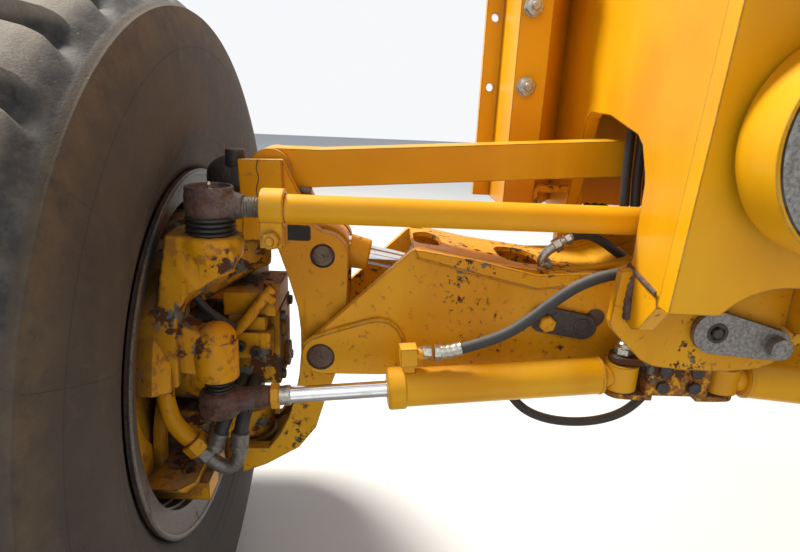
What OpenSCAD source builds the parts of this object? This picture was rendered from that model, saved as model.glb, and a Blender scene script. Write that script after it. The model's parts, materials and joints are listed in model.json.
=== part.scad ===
// Front axle of a motor grader with the nose of its frame.
// X points forward, Y to the left, Z up. The origin is the middle of the frame's closed rear end.
// Inside at_axle() heights are measured from the wheel axis and lengths from the axle's middle.

/* [Frame end] */
// Distance from the frame's closed rear end forward to the wheel axis
frame_end_x = 620; // [560:5:700]
// Height of the frame's closed rear end over the wheel axis
frame_end_z = 860; // [820:5:900]

/* [Wheels] */
// Distance between the middle planes of the tyres
track = 2140; // [2120:5:2180]
// Outside diameter of the tyre, to the tips of its lugs
tyre_d = 1348; // [1320:2:1360]
// Width of the tyre
tyre_w = 445; // [430:1:450]
// Diameter of the rim's flanges
flange_d = 711; // [700:1:720]
// Width of the rim between its flanges
rim_w = 356; // [350:1:370]
// Thickness of the rim's steel
rim_t = 12; // [9:1:14]

/* [Axle] */
// Distance between the lean pins
lean_pin_span = 1264; // [1244:2:1284]
// Height of the lean pins over the wheel axis
lean_pin_z = 37; // [30:1:45]
// Diameter of the lean pins
lean_pin_d = 44; // [36:1:50]
// Height of the axle's centre pin over the wheel axis
centre_pin_z = 169; // [160:1:180]
// Diameter of the axle's centre pin
centre_pin_d = 70; // [56:1:76]
// Depth of the axle beam from its rear face to its front face
beam_depth = 200; // [190:2:204]
// Thickness of the axle beam's plates
beam_t = 20; // [16:1:24]

/* [Yokes] */
// Depth of a yoke from its rear face to its front face
yoke_depth = 154; // [146:1:158]
// Thickness of a yoke's plates
yoke_t = 25; // [20:1:27]
// Distance between the kingpins
kingpin_span = 1580; // [1560:2:1600]
// Diameter of the kingpins
kingpin_d = 56; // [44:1:62]

/* [Links] */
// Distance from a kingpin back to the steering balls
arm_r = 206; // [204:1:207]
// Height of the track rod over the wheel axis
track_rod_z = 330; // [326:1:334]
// Diameter of the track rod's tube
track_rod_d = 44; // [36:1:48]
// Distance between the lean bar's pins
bar_span = 1458; // [1440:2:1470]
// Height of the lean bar's pins over the wheel axis
bar_z = 366; // [358:1:372]
// Rise of the lean bar at the machine's middle
bar_rise = 44; // [30:1:50]
// Diameter of the lean bar's pins
bar_pin_d = 36; // [28:1:40]
// Height of the lean cylinder's pin over the wheel axis
lean_eye_z = 221; // [215:1:226]
// Diameter of the lean cylinder's pin
lean_eye_d = 38; // [30:1:42]
// Outside diameter of the lean cylinder
lean_cyl_d = 64; // [58:1:65]
// Diameter of the lean cylinder's rod
lean_rod_d = 38; // [30:1:42]
// Outside diameter of the steering cylinders
steer_cyl_d = 66; // [56:1:70]
// Diameter of the steering cylinders' rods
steer_rod_d = 28; // [22:1:32]

/* [Nose] */
// Width of the nose over its side plates
nose_w = 280; // [264:2:284]
// Thickness of the nose's side plates
side_t = 25; // [16:1:30]
// Width of the nose's rear plate
rear_plate_w = 304; // [296:2:320]
// Thickness of the rear and front plates
plate_t = 20; // [14:1:24]
// Width of the mounting plate at the front
mount_plate_w = 624; // [618:2:640]

/* [Fits] */
// Radial running clearance of the pins
pin_fit = 0.05; // [0.02:0.01:0.09]
// Clearance between parts that move past each other
gap = 6; // [5:0.5:8]

/* [Hidden] */
$fn = 48;

paint = [0.98, 0.70, 0.10];
worn = [0.42, 0.28, 0.20];
steel = [0.62, 0.62, 0.60];
dark = [0.14, 0.14, 0.14];
rubber = [0.17, 0.16, 0.15];

tyre_y = track / 2;
tyre_r = tyre_d / 2;
kingpin_y = kingpin_span / 2;
lean_y = lean_pin_span / 2;
bar_y = bar_span / 2;
beam_x = beam_depth / 2;
yoke_x = yoke_depth / 2;
nose_y = nose_w / 2;

// Where the kingpin bosses of yoke and knuckle lie, from the wheel axis
yoke_boss_top = 322;
yoke_boss_low = 246;
yoke_foot_top = -180;
yoke_foot_low = -236;
yoke_boss_r = 56;
knuckle_boss_r = 50;

// Ball joints of the steering
ball_pad_z = track_rod_z - 54;
track_ball_r = 20;
track_drift = 13;
base_ball_r = 20;
base_bore_r = 17;
steer_ball = [-arm_r, kingpin_y, 0];
steer_base = [-155, 92, 42];
steer_vec = steer_ball - steer_base;
steer_len = norm(steer_vec);
steer_head = 418;
// Place of the cylinder's port block along its barrel
steer_port = 367;

// The lean cylinder inside the beam
lean_base = [0, 130, 127];
lean_base_r = 17;
lean_eye = [0, lean_y, lean_eye_z];
lean_vec = lean_eye - lean_base;
lean_len = norm(lean_vec);
lean_head = 350;
lean_drift = 13;

// Wheel rim and drum
seat_r = flange_d / 2 - 38;
well_r = seat_r - rim_t;
drum_r = well_r - 29.5;
drum_in_y = 852;
drum_out_y = 985;
spindle_r = 90;
spindle_end = 1100;

module at_axle() {
    translate([frame_end_x, 0, -frame_end_z]) children();
}

// side is 1 for the left and -1 for the right
module on_side(side) {
    if (side > 0) children();
    else mirror([0, 1, 0]) children();
}

// A flat outline in Y and Z, made into a plate from x forward
module plate_yz(x, t) {
    translate([x, 0, 0]) rotate([90, 0, 90]) linear_extrude(t) children();
}

// A flat outline in X and Z, made into a plate from y to the left
module plate_xz(y, t) {
    translate([0, y + t, 0]) rotate([90, 0, 0]) linear_extrude(t) children();
}

module rod_x(x0, x1, y, z, r) {
    translate([x0, y, z]) rotate([0, 90, 0]) cylinder(h = x1 - x0, r = r);
}

module rod_y(y0, y1, x, z, r) {
    translate([x, y1, z]) rotate([90, 0, 0]) cylinder(h = y1 - y0, r = r);
}

module rod_z(z0, z1, x, y, r) {
    translate([x, y, z0]) cylinder(h = z1 - z0, r = r);
}

// Turns the Z axis onto the line from base along vec
module along(base, vec) {
    flat = sqrt(vec[0] * vec[0] + vec[1] * vec[1]);
    translate(base)
        rotate([0, atan2(flat, vec[2]), atan2(vec[1], vec[0])]) children();
}

// A body of revolution round the wheel axis, with radius and distance from the middle as its profile
module turned_y() {
    rotate([-90, 0, 0]) rotate_extrude($fn = 96) children();
}

function arc(c, r, a0, a1, n) =
    [for (i = [0:n]) c + r * [cos(a0 + (a1 - a0) * i / n), sin(a0 + (a1 - a0) * i / n)]];

// Nose

nose_front_x = 290;
nose_low = 275;
nose_top_z = 1060;
// Foot of the side plates, where the gusset of the rear lug joins them
nose_tip = [-326, 249];
// Front face of the rear plate, from its foot up to the closed rear end
rear_low = [-358, 244];
rear_knee = [-398, 690];
rear_high = [plate_t - frame_end_x, frame_end_z - 128];
rear_t = 32;
end_h = 320;
inner_w = nose_w - 2 * side_t;

// The front mounting plate with its folded sides and its bolt holes
mount_low = 285;
mount_h = 560;
flange_x = 120;
flange_y = 274;
pad_y = 211;
bolt_y = 292;
bolt_r = 9;
bolt_z = [383, 529, 675, 821];

// Socket of the drawbar's ball, open to the rear
socket_z = 468;
socket_r = 125;
socket_x = -500;

// Outline of a side plate in X and Z
side_outline = [
    [-226, 262], nose_tip, rear_low + [0, 6], rear_knee, rear_high,
    [rear_high[0], frame_end_z + end_h / 2], [-440, nose_top_z], [-20, 1030], [200, 890],
    [nose_front_x, 700], [nose_front_x, nose_low], [128, nose_low]];

// The hole that the lean bar and the track rod pass through
side_hole = [
    [140, 200], [118, 300], [66, 446], [56, 476], [40, 488], [-60, 485], [-184, 460], [-206, 446],
    [-218, 425], [-228, 408], [-234, 392], [-234, 272], [-226, 262], [-226, 200]];

module nose_sides() {
    color(paint) at_axle()
        for (side = [1, -1]) on_side(side)
            plate_xz(nose_y - side_t, side_t) difference() {
                polygon(side_outline);
                polygon(side_hole);
            }
}

module nose_rear_plate() {
    color(paint) at_axle() difference() {
        plate_xz(-rear_plate_w / 2, rear_plate_w) polygon([
            rear_low, rear_knee, rear_high, rear_high - [0, rear_t],
            rear_knee - [rear_t - 3, rear_t - 1], rear_low - [rear_t, 0]]);
        rod_x(-460, -300, 0, 182, 104);
        rod_x(-460, -300, 0, socket_z, socket_r - 60);
    }
}

module nose_front_plate() {
    color(paint) at_axle()
        translate([nose_front_x - plate_t, -inner_w / 2, nose_low])
            cube([plate_t, inner_w, 660 - nose_low]);
}

module nose_cap_plate() {
    color(paint) at_axle() {
        plate_xz(-inner_w / 2, inner_w) polygon([
            [nose_front_x, 700], [200, 890], [-20, 1030], [-440, nose_top_z],
            [rear_high[0], frame_end_z + end_h / 2], [rear_high[0], frame_end_z + end_h / 2 - plate_t],
            [-440, nose_top_z - 20], [-26, 1010], [184, 876], [nose_front_x - plate_t, 695],
            [nose_front_x - plate_t, 660], [nose_front_x, 660]]);
    }
}

module nose_end() {
    color(paint) translate([0, -nose_y, -end_h / 2]) cube([plate_t, nose_w, end_h]);
}

module mount_plate() {
    color(paint) at_axle() difference() {
        union() {
            translate([nose_front_x, -mount_plate_w / 2, mount_low])
                cube([plate_t, mount_plate_w, mount_h]);
            for (side = [1, -1]) on_side(side) {
                translate([flange_x, flange_y - plate_t, mount_low])
                    cube([nose_front_x - flange_x, plate_t, mount_h]);
                translate([flange_x, pad_y, mount_low]) cube([plate_t, flange_y - pad_y, mount_h]);
                translate([0, 0, mount_low]) linear_extrude(mount_h) polygon([
                    [flange_x, pad_y], [flange_x + plate_t, pad_y], [nose_front_x, nose_y + 8],
                    [nose_front_x, nose_y], [nose_front_x - 34, nose_y]]);
            }
        }
        for (side = [1, -1], z = bolt_z)
            rod_x(nose_front_x - 1, nose_front_x + plate_t + 1, side * bolt_y, z, bolt_r);
    }
}

module pin_lugs() {
    rear = [[166, 177], [160, 259], [144, 263], [-144, 263], [-160, 259], [-166, 177],
        [-161, 164], [-108, 114], [-87, 104], [-40, 98], [40, 98], [87, 104], [108, 114], [161, 164]];
    color(paint) at_axle() difference() {
        union() {
            plate_yz(-250, 17) polygon(rear);
            rod_x(-250, -219, 0, centre_pin_z, centre_pin_d / 2 + 26);
            plate_yz(150, 30) polygon([[nose_y, nose_low], [-nose_y, nose_low],
                [-nose_y, 200], [-60, 100], [60, 100], [nose_y, 200]]);
            for (side = [1, -1]) on_side(side)
                plate_xz(nose_y - side_t, side_t) polygon([
                    [-250, 178], [-250, 263], nose_tip + [0, 4], nose_tip,
                    [-333, 231], [-290, 182], [-270, 174]]);
        }
        rod_x(-260, 190, 0, centre_pin_z, centre_pin_d / 2 + pin_fit);
        for (side = [1, -1]) on_side(side)
            plate_xz(nose_y - side_t - 0.3, side_t + 1) polygon([
                [-226, 261.7], nose_tip - [0, 0.3], nose_tip + [-24, 60], [-226, 320]]);
    }
}

module centre_pin() {
    color(steel) at_axle() rod_x(-252, 186, 0, centre_pin_z, centre_pin_d / 2);
}

module pin_retainer() {
    color(steel) at_axle() difference() {
        union() {
            plate_yz(-264, 12) hull() {
                translate([2, centre_pin_z]) circle(35, $fn = 32);
                translate([-96, centre_pin_z - 18]) circle(25, $fn = 32);
            }
            rod_x(-282, -264, -96, centre_pin_z - 18, 17);
        }
        rod_x(-281, -256, 0, centre_pin_z, 12);
    }
}

module drawbar_socket() {
    color(dark) at_axle() difference() {
        union() {
            rod_x(socket_x, -422, 0, socket_z, socket_r);
            rod_x(-424, -340, 0, socket_z, socket_r - 60.5);
        }
        translate([socket_x - 20, 0, socket_z]) sphere(r = 92);
    }
}

// Axle beam

beam_outline = concat(
    [[0, 262], [120, 214], [224, 210], [351, 226], [440, 243]],
    arc([455, 215], 32, 88, 52, 4),
    arc([lean_y, lean_pin_z], 35, 52, -90, 10),
    [[525, 3], [249, -10], [0, -10]]);

module beam_half_outline() {
    polygon(beam_outline);
}

module beam_plates() {
    color(paint) at_axle() difference() {
        union() {
            for (x = [-beam_x, beam_x - beam_t]) plate_yz(x, beam_t) {
                beam_half_outline();
                mirror([1, 0]) beam_half_outline();
            }
        }
        for (side = [1, -1])
            rod_x(-beam_x - 1, beam_x + 1, side * lean_y, lean_pin_z, lean_pin_d / 2 + pin_fit);
        rod_x(-beam_x - 1, beam_x + 1, lean_base[1], lean_base[2], lean_base_r + pin_fit);
        rod_x(-beam_x - 1, beam_x + 1, 0, centre_pin_z, centre_pin_d / 2 + 26);
    }
}

module beam_top_plate() {
    color(paint) at_axle() for (side = [1, -1]) on_side(side) difference() {
        plate_yz(-beam_x + beam_t, beam_depth - 2 * beam_t) polygon([
            [64, 238], [120, 214], [224, 210], [351, 226], [440, 243], [470, 244],
            [470, 234], [440, 233], [351, 216], [224, 200], [120, 204], [64, 226]]);
        for (x = [-24, 24]) translate([x, 440, 200]) cylinder(h = 80, r = 26);
        translate([-24, 414, 200]) cube([48, 52, 80]);
        for (x = [-16, 16]) translate([x, 262, 170]) cylinder(h = 80, r = 42);
        translate([-16, 220, 170]) cube([32, 84, 80]);
        for (hole = [[1, 365], [-11, 342], [-23, 319]])
            translate([hole[0], hole[1], 190]) cylinder(h = 60, r = 6);
    }
}

module beam_bottom_plate() {
    color(paint) at_axle() {
        translate([-beam_x + beam_t, -520, -4]) cube([beam_depth - 2 * beam_t, 1040, 16]);
        for (y = [262, -52]) rod_z(-18, -4, 0, y, 15);
    }
}

module pivot_tube() {
    color(paint) at_axle() difference() {
        rod_x(-214, 144, 0, centre_pin_z, centre_pin_d / 2 + 26 - pin_fit);
        rod_x(-215, 145, 0, centre_pin_z, centre_pin_d / 2 + pin_fit);
    }
}

module beam_retainer() {
    color(dark) at_axle()
        plate_yz(-beam_x - 10, 10) polygon([[253, 148], [253, 108], [235, 96], [140, 86],
            [124, 96], [128, 122], [150, 136]]);
}

module steer_bracket() {
    color(dark) at_axle() {
        translate([-185, -56, 16]) cube([185 - beam_x, 112, 68]);
        for (side = [1, -1]) on_side(side) {
            for (z = [4, 70]) hull() {
                rod_z(z, z + 10, steer_base[0], steer_base[1], 24);
                translate([-181, 40, z]) cube([75, 30, 10]);
            }
            rod_z(4, 80, steer_base[0], steer_base[1], 14);
            translate(steer_base) sphere(r = base_ball_r);
            rod_z(80, 106, steer_base[0], steer_base[1], 9);
        }
    }
}

module lean_pins() {
    color(worn) at_axle() {
        rod_x(-beam_x + 2, beam_x - 2, lean_base[1], lean_base[2], lean_base_r);
        for (side = [1, -1])
            rod_x(-beam_x + 1, beam_x - 1, side * lean_y, lean_pin_z, lean_pin_d / 2);
    }
}

module lean_barrel() {
    color(paint) at_axle() difference() {
        union() {
            along(lean_base, lean_vec) translate([0, 0, 24])
                cylinder(h = lean_head - 24, r = lean_cyl_d / 2);
            rod_x(-46, 46, lean_base[1], lean_base[2], 30);
        }
        along(lean_base, lean_vec) translate([0, 0, 60])
            cylinder(h = lean_head, r = lean_rod_d / 2 + pin_fit);
        rod_x(-50, 50, lean_base[1], lean_base[2], lean_base_r + pin_fit);
    }
}

// Yokes

yoke_shape = concat(
    [[776, 386], [702, 388], [674, 331], [651, 277], [635, 266]],
    arc([lean_y - 3, lean_eye_z], 43, 96, 176, 6),
    [[587, 139], [590, 60], [606, -10], [627, -71], [644, -130], [678, -176], [742, -216],
    [kingpin_y, yoke_foot_low], [kingpin_y, yoke_foot_top], [738, yoke_foot_top], [716, -150], [697, -110],
    [686, -70], [676, -17], [672, 30], [672, 75], [677, 121], [692, 174], [716, yoke_boss_low],
    [kingpin_y - 16, yoke_boss_low], [kingpin_y - 22, 327]]);

module yoke(side) {
    color(paint) at_axle() on_side(side) difference() {
        union() {
            for (x = [-yoke_x, yoke_x - yoke_t]) plate_yz(x, yoke_t) polygon(yoke_shape);
            rod_z(yoke_boss_low, yoke_boss_top, 0, kingpin_y, yoke_boss_r);
            rod_z(yoke_foot_low, yoke_foot_top, 0, kingpin_y, yoke_boss_r);
            rod_x(-yoke_x, yoke_x, lean_y, lean_pin_z, lean_pin_d / 2 + 17);
            plate_yz(-yoke_x + 1, yoke_depth - 2) polygon([
                [606, -10], [627, -71], [644, -130], [678, -176], [742, -216],
                [kingpin_y, yoke_foot_low], [kingpin_y, yoke_foot_top - 20], [742, -190],
                [694, -154], [662, -118], [646, -66], [632, -10]]);
            plate_yz(-yoke_x + 1, yoke_depth - 2) polygon([
                [700, yoke_boss_low], [kingpin_y, yoke_boss_low], [kingpin_y, 290], [702, 290]]);
        }
        rod_x(-yoke_x - 1, yoke_x + 1, lean_y, lean_pin_z, lean_pin_d / 2 + pin_fit);
        rod_x(-yoke_x - 1, yoke_x + 1, lean_y, lean_eye_z, lean_eye_d / 2 + pin_fit);
        rod_x(-yoke_x + 12, yoke_x - 12, bar_y, bar_z, bar_pin_d / 2 + pin_fit);
        rod_z(yoke_boss_low - 1, yoke_boss_top + 1, 0, kingpin_y, kingpin_d / 2 + pin_fit);
        rod_z(yoke_foot_low - 1, yoke_foot_top + 1, 0, kingpin_y, kingpin_d / 2 + pin_fit);
    }
}

module yoke_pins(side) {
    color(worn) at_axle() on_side(side) {
        rod_x(-yoke_x + 1, yoke_x - 1, lean_y, lean_eye_z, lean_eye_d / 2);
        rod_x(-yoke_x + 13, yoke_x - 13, bar_y, bar_z, bar_pin_d / 2);
        rod_z(yoke_boss_low - 60, yoke_boss_top, 0, kingpin_y, kingpin_d / 2);
        rod_z(yoke_foot_low, yoke_foot_top + 60, 0, kingpin_y, kingpin_d / 2);
    }
}

module kingpin_cap(side) {
    color(dark) at_axle() on_side(side) difference() {
        intersection() {
            translate([0, kingpin_y, yoke_boss_top]) union() {
                cylinder(h = 16, r = 61);
                translate([0, 0, -24]) sphere(r = 92);
            }
            translate([-61, bar_y + 54, yoke_boss_top]) cube([122, 140, 80]);
            rod_z(yoke_boss_top, yoke_boss_top + 80, 0, kingpin_y, 61);
        }
        for (x = [-100, yoke_x - yoke_t - 0.5])
            translate([x, 700, yoke_boss_top - 1]) cube([100 - yoke_x + yoke_t + 0.5, 84, 90]);
    }
}

// Knuckles

module knuckle(side) {
    boss_top = yoke_boss_low - gap;
    foot_low = yoke_foot_top + gap;
    color(paint) at_axle() on_side(side) difference() {
        union() {
            difference() {
                turned_y() polygon([
                    [0, spindle_end], [spindle_r, spindle_end], [spindle_r, drum_out_y],
                    [drum_r - 51, drum_out_y], [drum_r - 14, 960], [drum_r, 925],
                    [drum_r, 876], [drum_r - 18, drum_in_y], [drum_r - 64, drum_in_y],
                    [drum_r - 64, 920], [drum_r - 86, 945], [0, 945]]);
                translate([-300, 800, -186]) cube([210, 140, 224]);
            }
            rod_z(boss_top - 58, boss_top, 0, kingpin_y, knuckle_boss_r);
            rod_z(foot_low, foot_low + 58, 0, kingpin_y, knuckle_boss_r);
            hull() {
                rod_z(boss_top - 52, boss_top - 4, 0, kingpin_y, knuckle_boss_r - 2);
                translate([-90, 870, 120]) cube([180, 30, 110]);
            }
            hull() {
                rod_z(foot_low + 4, foot_low + 52, 0, kingpin_y, knuckle_boss_r - 2);
                translate([-80, 900, -172]) cube([160, 50, 71]);
            }
            hull() {
                rod_z(ball_pad_z - 44, ball_pad_z, -arm_r, kingpin_y, 34);
                translate([-156, 862, drum_r - 126]) cube([70, 26, 84]);
            }
            rod_z(44, 112, -arm_r, kingpin_y, 33);
            translate([-155, 835, 33 - drum_r]) cube([60, 105, 38]);
            translate([-arm_r, kingpin_y, 108]) sphere(r = 32);
            hull() {
                rod_z(56, 106, -arm_r, kingpin_y, 26);
                translate([40 - drum_r, 862, 66]) cube([56, 28, 88]);
            }
        }
        rod_z(boss_top - 70, boss_top + 1, 0, kingpin_y, kingpin_d / 2 + pin_fit);
        rod_z(foot_low - 1, foot_low + 70, 0, kingpin_y, kingpin_d / 2 + pin_fit);
    }
    color(worn) at_axle() on_side(side) {
        rod_z(ball_pad_z - 2, track_rod_z, -arm_r, kingpin_y, 11);
        translate([-arm_r, kingpin_y, track_rod_z]) sphere(r = track_ball_r);
        rod_z(34, 46, -arm_r, kingpin_y, 11);
    }
}

// Inner end of the hub motor, clear of the yoke's lean pin
motor_in_y = lean_y + 82;

module hub_motor(side) {
    color(paint) at_axle() on_side(side) {
        rod_y(800, 945, 0, 0, 100);
        translate([-60, motor_in_y, -44]) cube([120, 800 - motor_in_y, 150]);
        rod_y(motor_in_y - 8, motor_in_y + 6, 10, -10, 26);
        rod_y(motor_in_y - 8, motor_in_y + 6, -22, 62, 20);
    }
}

pipe_r = 11;
pipe_route = [
    [-140, 944.7, 8], [-140, 915, 8], [-140, 903, -11],
    [-142, 905, -68], [-144, 878, -107], [-146, 843, -134]];
elbow_route = [[-146, 843, -134], [-146, 826, -162], [-146, 790, -150]];

// A pipe of straight pieces with round corners
module pipe(points, r) {
    for (i = [0:len(points) - 2]) {
        along(points[i], points[i + 1] - points[i]) cylinder(h = norm(points[i + 1] - points[i]), r = r);
        translate(points[i + 1]) sphere(r = r + 0.5);
    }
}

module motor_pipes(side) {
    color(paint) at_axle() on_side(side) {
        pipe(pipe_route, pipe_r);
        pipe(elbow_route, 13);
    }
}

// Wheels

module tyre(side) {
    hw = tyre_w / 2;
    color(rubber) at_axle() on_side(side) translate([0, tyre_y, 0]) turned_y() polygon(concat(
        [[seat_r + 0.3, -rim_w / 2 + 4], [flange_d / 2 - 9, -rim_w / 2 - 1.5],
        [flange_d / 2 + 0.5, -rim_w / 2 - 6], [flange_d / 2 + 6, -rim_w / 2 - 8],
        [flange_d / 2 + 26, -rim_w / 2 - 16]],
        [[440, -hw + 12], [480, -hw + 2], [520, -hw], [560, -hw + 4], [600, -hw + 14],
        [tyre_r - 40, -hw + 28], [tyre_r - 16, -hw + 48], [tyre_r - 3, -hw + 90], [tyre_r, -60],
        [tyre_r, 60], [tyre_r - 3, hw - 90], [tyre_r - 16, hw - 48], [tyre_r - 40, hw - 28],
        [600, hw - 14], [560, hw - 4], [520, hw], [480, hw - 2], [440, hw - 12]],
        [[flange_d / 2 + 26, rim_w / 2 + 16], [flange_d / 2 + 6, rim_w / 2 + 8],
        [flange_d / 2 + 0.5, rim_w / 2 + 6], [flange_d / 2 - 9, rim_w / 2 + 1.5],
        [seat_r + 0.3, rim_w / 2 - 4]]));
}

module rim(side) {
    w = rim_w / 2;
    color(paint) at_axle() on_side(side) translate([0, tyre_y, 0]) turned_y() polygon([
        [seat_r, -w + 3], [flange_d / 2 - 10, -w - 2], [flange_d / 2, -w - 8], [flange_d / 2, -w - 16],
        [flange_d / 2 - 12, -w - 14], [well_r, -w - 4], [well_r, -60], [well_r - 7.5, -40],
        [well_r - 9.5, 40], [230, 52], [150, 52], [150, 74], [236, 76], [well_r - 5.5, 66], [well_r, 76],
        [well_r, w + 4], [flange_d / 2 - 12, w + 14], [flange_d / 2, w + 16], [flange_d / 2, w + 8],
        [flange_d / 2 - 10, w + 2], [seat_r, w - 3]]);
}

module wheel_hub(side) {
    color(paint) at_axle() on_side(side) turned_y() polygon([
        [spindle_r + pin_fit, drum_out_y + gap], [228, drum_out_y + gap], [240, 1010], [240, 1090],
        [226, tyre_y + 51], [149, tyre_y + 51], [149, 1180], [120, 1206], [0, 1206],
        [0, spindle_end + gap], [spindle_r + pin_fit, spindle_end + gap]]);
}

// Links

module lean_bar() {
    half = [[bar_y, bar_z + 38], [640, bar_z + 38], [0, bar_z + 38 + bar_rise],
        [0, bar_z - 26 + bar_rise], [640, bar_z - 28], [bar_y, bar_z - 36]];
    color(paint) at_axle() difference() {
        union() {
            plate_yz(-32, 64) {
                polygon(half);
                mirror([1, 0]) polygon(half);
            }
            for (side = [1, -1]) rod_x(-44, 44, side * bar_y, bar_z, 38);
        }
        rod_x(-60, 60, bar_y, bar_z, bar_pin_d / 2 + pin_fit);
        rod_x(-60, 60, -bar_y, bar_z, bar_pin_d / 2 + 11);
    }
}

module track_rod_boot() {
    color(dark) at_axle() difference() {
        union() {
            for (z = [0, 9, 18]) rod_z(ball_pad_z + 0.5 + z, ball_pad_z + 7 + z, -arm_r, kingpin_y, 37);
            rod_z(ball_pad_z + 0.5, ball_pad_z + 24, -arm_r, kingpin_y, 33);
            rod_z(ball_pad_z + 24, ball_pad_z + 35, -arm_r, kingpin_y, 24);
        }
        rod_z(ball_pad_z, ball_pad_z + 40, -arm_r, kingpin_y, 11 + pin_fit);
    }
}

module track_rod() {
    color(paint) at_axle() rod_y(-690, 690, -arm_r, track_rod_z, track_rod_d / 2);
    color(worn) at_axle() difference() {
        for (side = [1, -1]) on_side(side) {
            difference() {
                rod_z(track_rod_z - 17, track_rod_z + 32, -arm_r, kingpin_y, 38);
                rod_z(track_rod_z - 18, track_rod_z - 8, -arm_r, kingpin_y, 34);
                rod_z(track_rod_z + 24, track_rod_z + 33, -arm_r, kingpin_y, 32.5);
            }
            rod_y(690, kingpin_y - 35, -arm_r, track_rod_z, 15);
            rod_y(686, 720, -arm_r, track_rod_z, 28);
        }
        translate([-arm_r, kingpin_y, track_rod_z]) sphere(r = track_ball_r + pin_fit);
        rod_z(track_rod_z - 20, track_rod_z + 25, -arm_r, -kingpin_y, track_ball_r + track_drift);
    }
}

module lean_rod() {
    color(steel) at_axle() difference() {
        union() {
            along(lean_base, lean_vec) translate([0, 0, 150])
                cylinder(h = lean_len - 150 - 40, r = lean_rod_d / 2);
            rod_x(-30, 30, lean_y, lean_eye_z, 44);
            along(lean_base, lean_vec) translate([0, 0, lean_len - 78]) cylinder(h = 48, r = 28);
        }
        rod_x(-40, 40, lean_y, lean_eye_z, lean_eye_d / 2 + lean_drift);
    }
}

module steer_barrel(side) {
    color(paint) at_axle() on_side(side) difference() {
        union() {
            along(steer_base, steer_vec) translate([0, 0, 38])
                cylinder(h = steer_head - 38, r = steer_cyl_d / 2);
            along(steer_base, steer_vec) cylinder(h = 40, r = 22);
            rod_z(steer_base[2] - 24, steer_base[2] + 24, steer_base[0], steer_base[1], 30);
            along(steer_base, steer_vec) translate([-79, -12, steer_port])
                cube([32, 30, 29]);
            along(steer_base, steer_vec) translate([-50, -10, steer_port + 4])
                cube([24, 20, 21]);
            along(steer_base, steer_vec) translate([-66, 8, steer_port - 22.5])
                cylinder(h = 23.5, r = 10);
        }
        along(steer_base, steer_vec) translate([0, 0, 50])
            cylinder(h = steer_head, r = steer_rod_d / 2 + pin_fit);
        rod_z(steer_base[2] - 30, steer_base[2] + 30, steer_base[0], steer_base[1], base_bore_r);
        translate(steer_base) sphere(r = base_ball_r + pin_fit);
    }
}

module steer_rod(side) {
    color(steel) at_axle() on_side(side) {
        along(steer_base, steer_vec) translate([0, 0, 215])
            cylinder(h = steer_len - 215 - 110, r = steer_rod_d / 2);
        along(steer_base, steer_vec) translate([0, 0, steer_len - 112]) cylinder(h = 30, r = 18);
        along(steer_base, steer_vec) translate([0, 0, steer_len - 84]) cylinder(h = 64, r = 21);
        rod_z(-26, 22, -arm_r, kingpin_y, 34);
    }
}

// Hoses

hose_r = 9.5;
steer_hose_route = [
    [-188, 430, 88], [-188, 405, 92], [-187, 374, 101], [-186, 340, 113], [-185, 305, 130],
    [-185, 272, 155], [-186, 240, 184], [-189, 205, 213], [-194, 168, 233], [-199, 130, 243],
    [-201, 92, 246], [-201, 49, 245]];
loop_route = [
    [0, 262, -18.2], [0, 261, -45], [0, 246, -86], [0, 212, -122], [0, 164, -143], [0, 105, -150],
    [0, 46, -143], [0, -2, -122], [0, -36, -86], [0, -51, -45], [0, -52, -18.2]];

function pick(p, i) = p[max(0, min(len(p) - 1, i))];
function smooth(a, b, c, d, t) =
    0.5 * (2 * b + (c - a) * t + (2 * a - 5 * b + 4 * c - d) * t * t + (3 * b - a - 3 * c + d) * t * t * t);
function route(p, n) = concat(
    [for (i = [0:len(p) - 2], k = [0:n - 1])
        smooth(pick(p, i - 1), p[i], p[i + 1], pick(p, i + 2), k / n)],
    [p[len(p) - 1]]);
function unit(v) = v / norm(v);

// A round tube along a route that lies nearly in Y and Z
module hose(points, r, sides = 10) {
    c = route(points, 2);
    last = len(c) - 1;
    rings = [for (i = [0:last])
        let (t = unit(c[min(last, i + 1)] - c[max(0, i - 1)]),
            b = unit(cross(t, [1, 0, 0])), n = cross(b, t))
        [for (k = [0:sides - 1]) c[i] + r * (cos(360 * k / sides) * b + sin(360 * k / sides) * n)]];
    polyhedron(
        points = [for (ring = rings) each ring],
        faces = concat(
            [[for (k = [0:sides - 1]) k]],
            [for (i = [0:last - 1], k = [0:sides - 1])
                [i * sides + k, (i + 1) * sides + k,
                    (i + 1) * sides + (k + 1) % sides, i * sides + (k + 1) % sides]],
            [[for (k = [0:sides - 1]) last * sides + sides - 1 - k]]));
}

module steer_hose(side) {
    color(dark) at_axle() on_side(side) hose(steer_hose_route, hose_r);
}

module loop_hose() {
    color(dark) at_axle() hose(loop_route, hose_r);
}

module hose_block() {
    color(steel) at_axle() translate([-212, -48.7, centre_pin_z + centre_pin_d / 2 + 26.3])
        cube([52, 97.4, 28]);
}

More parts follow.
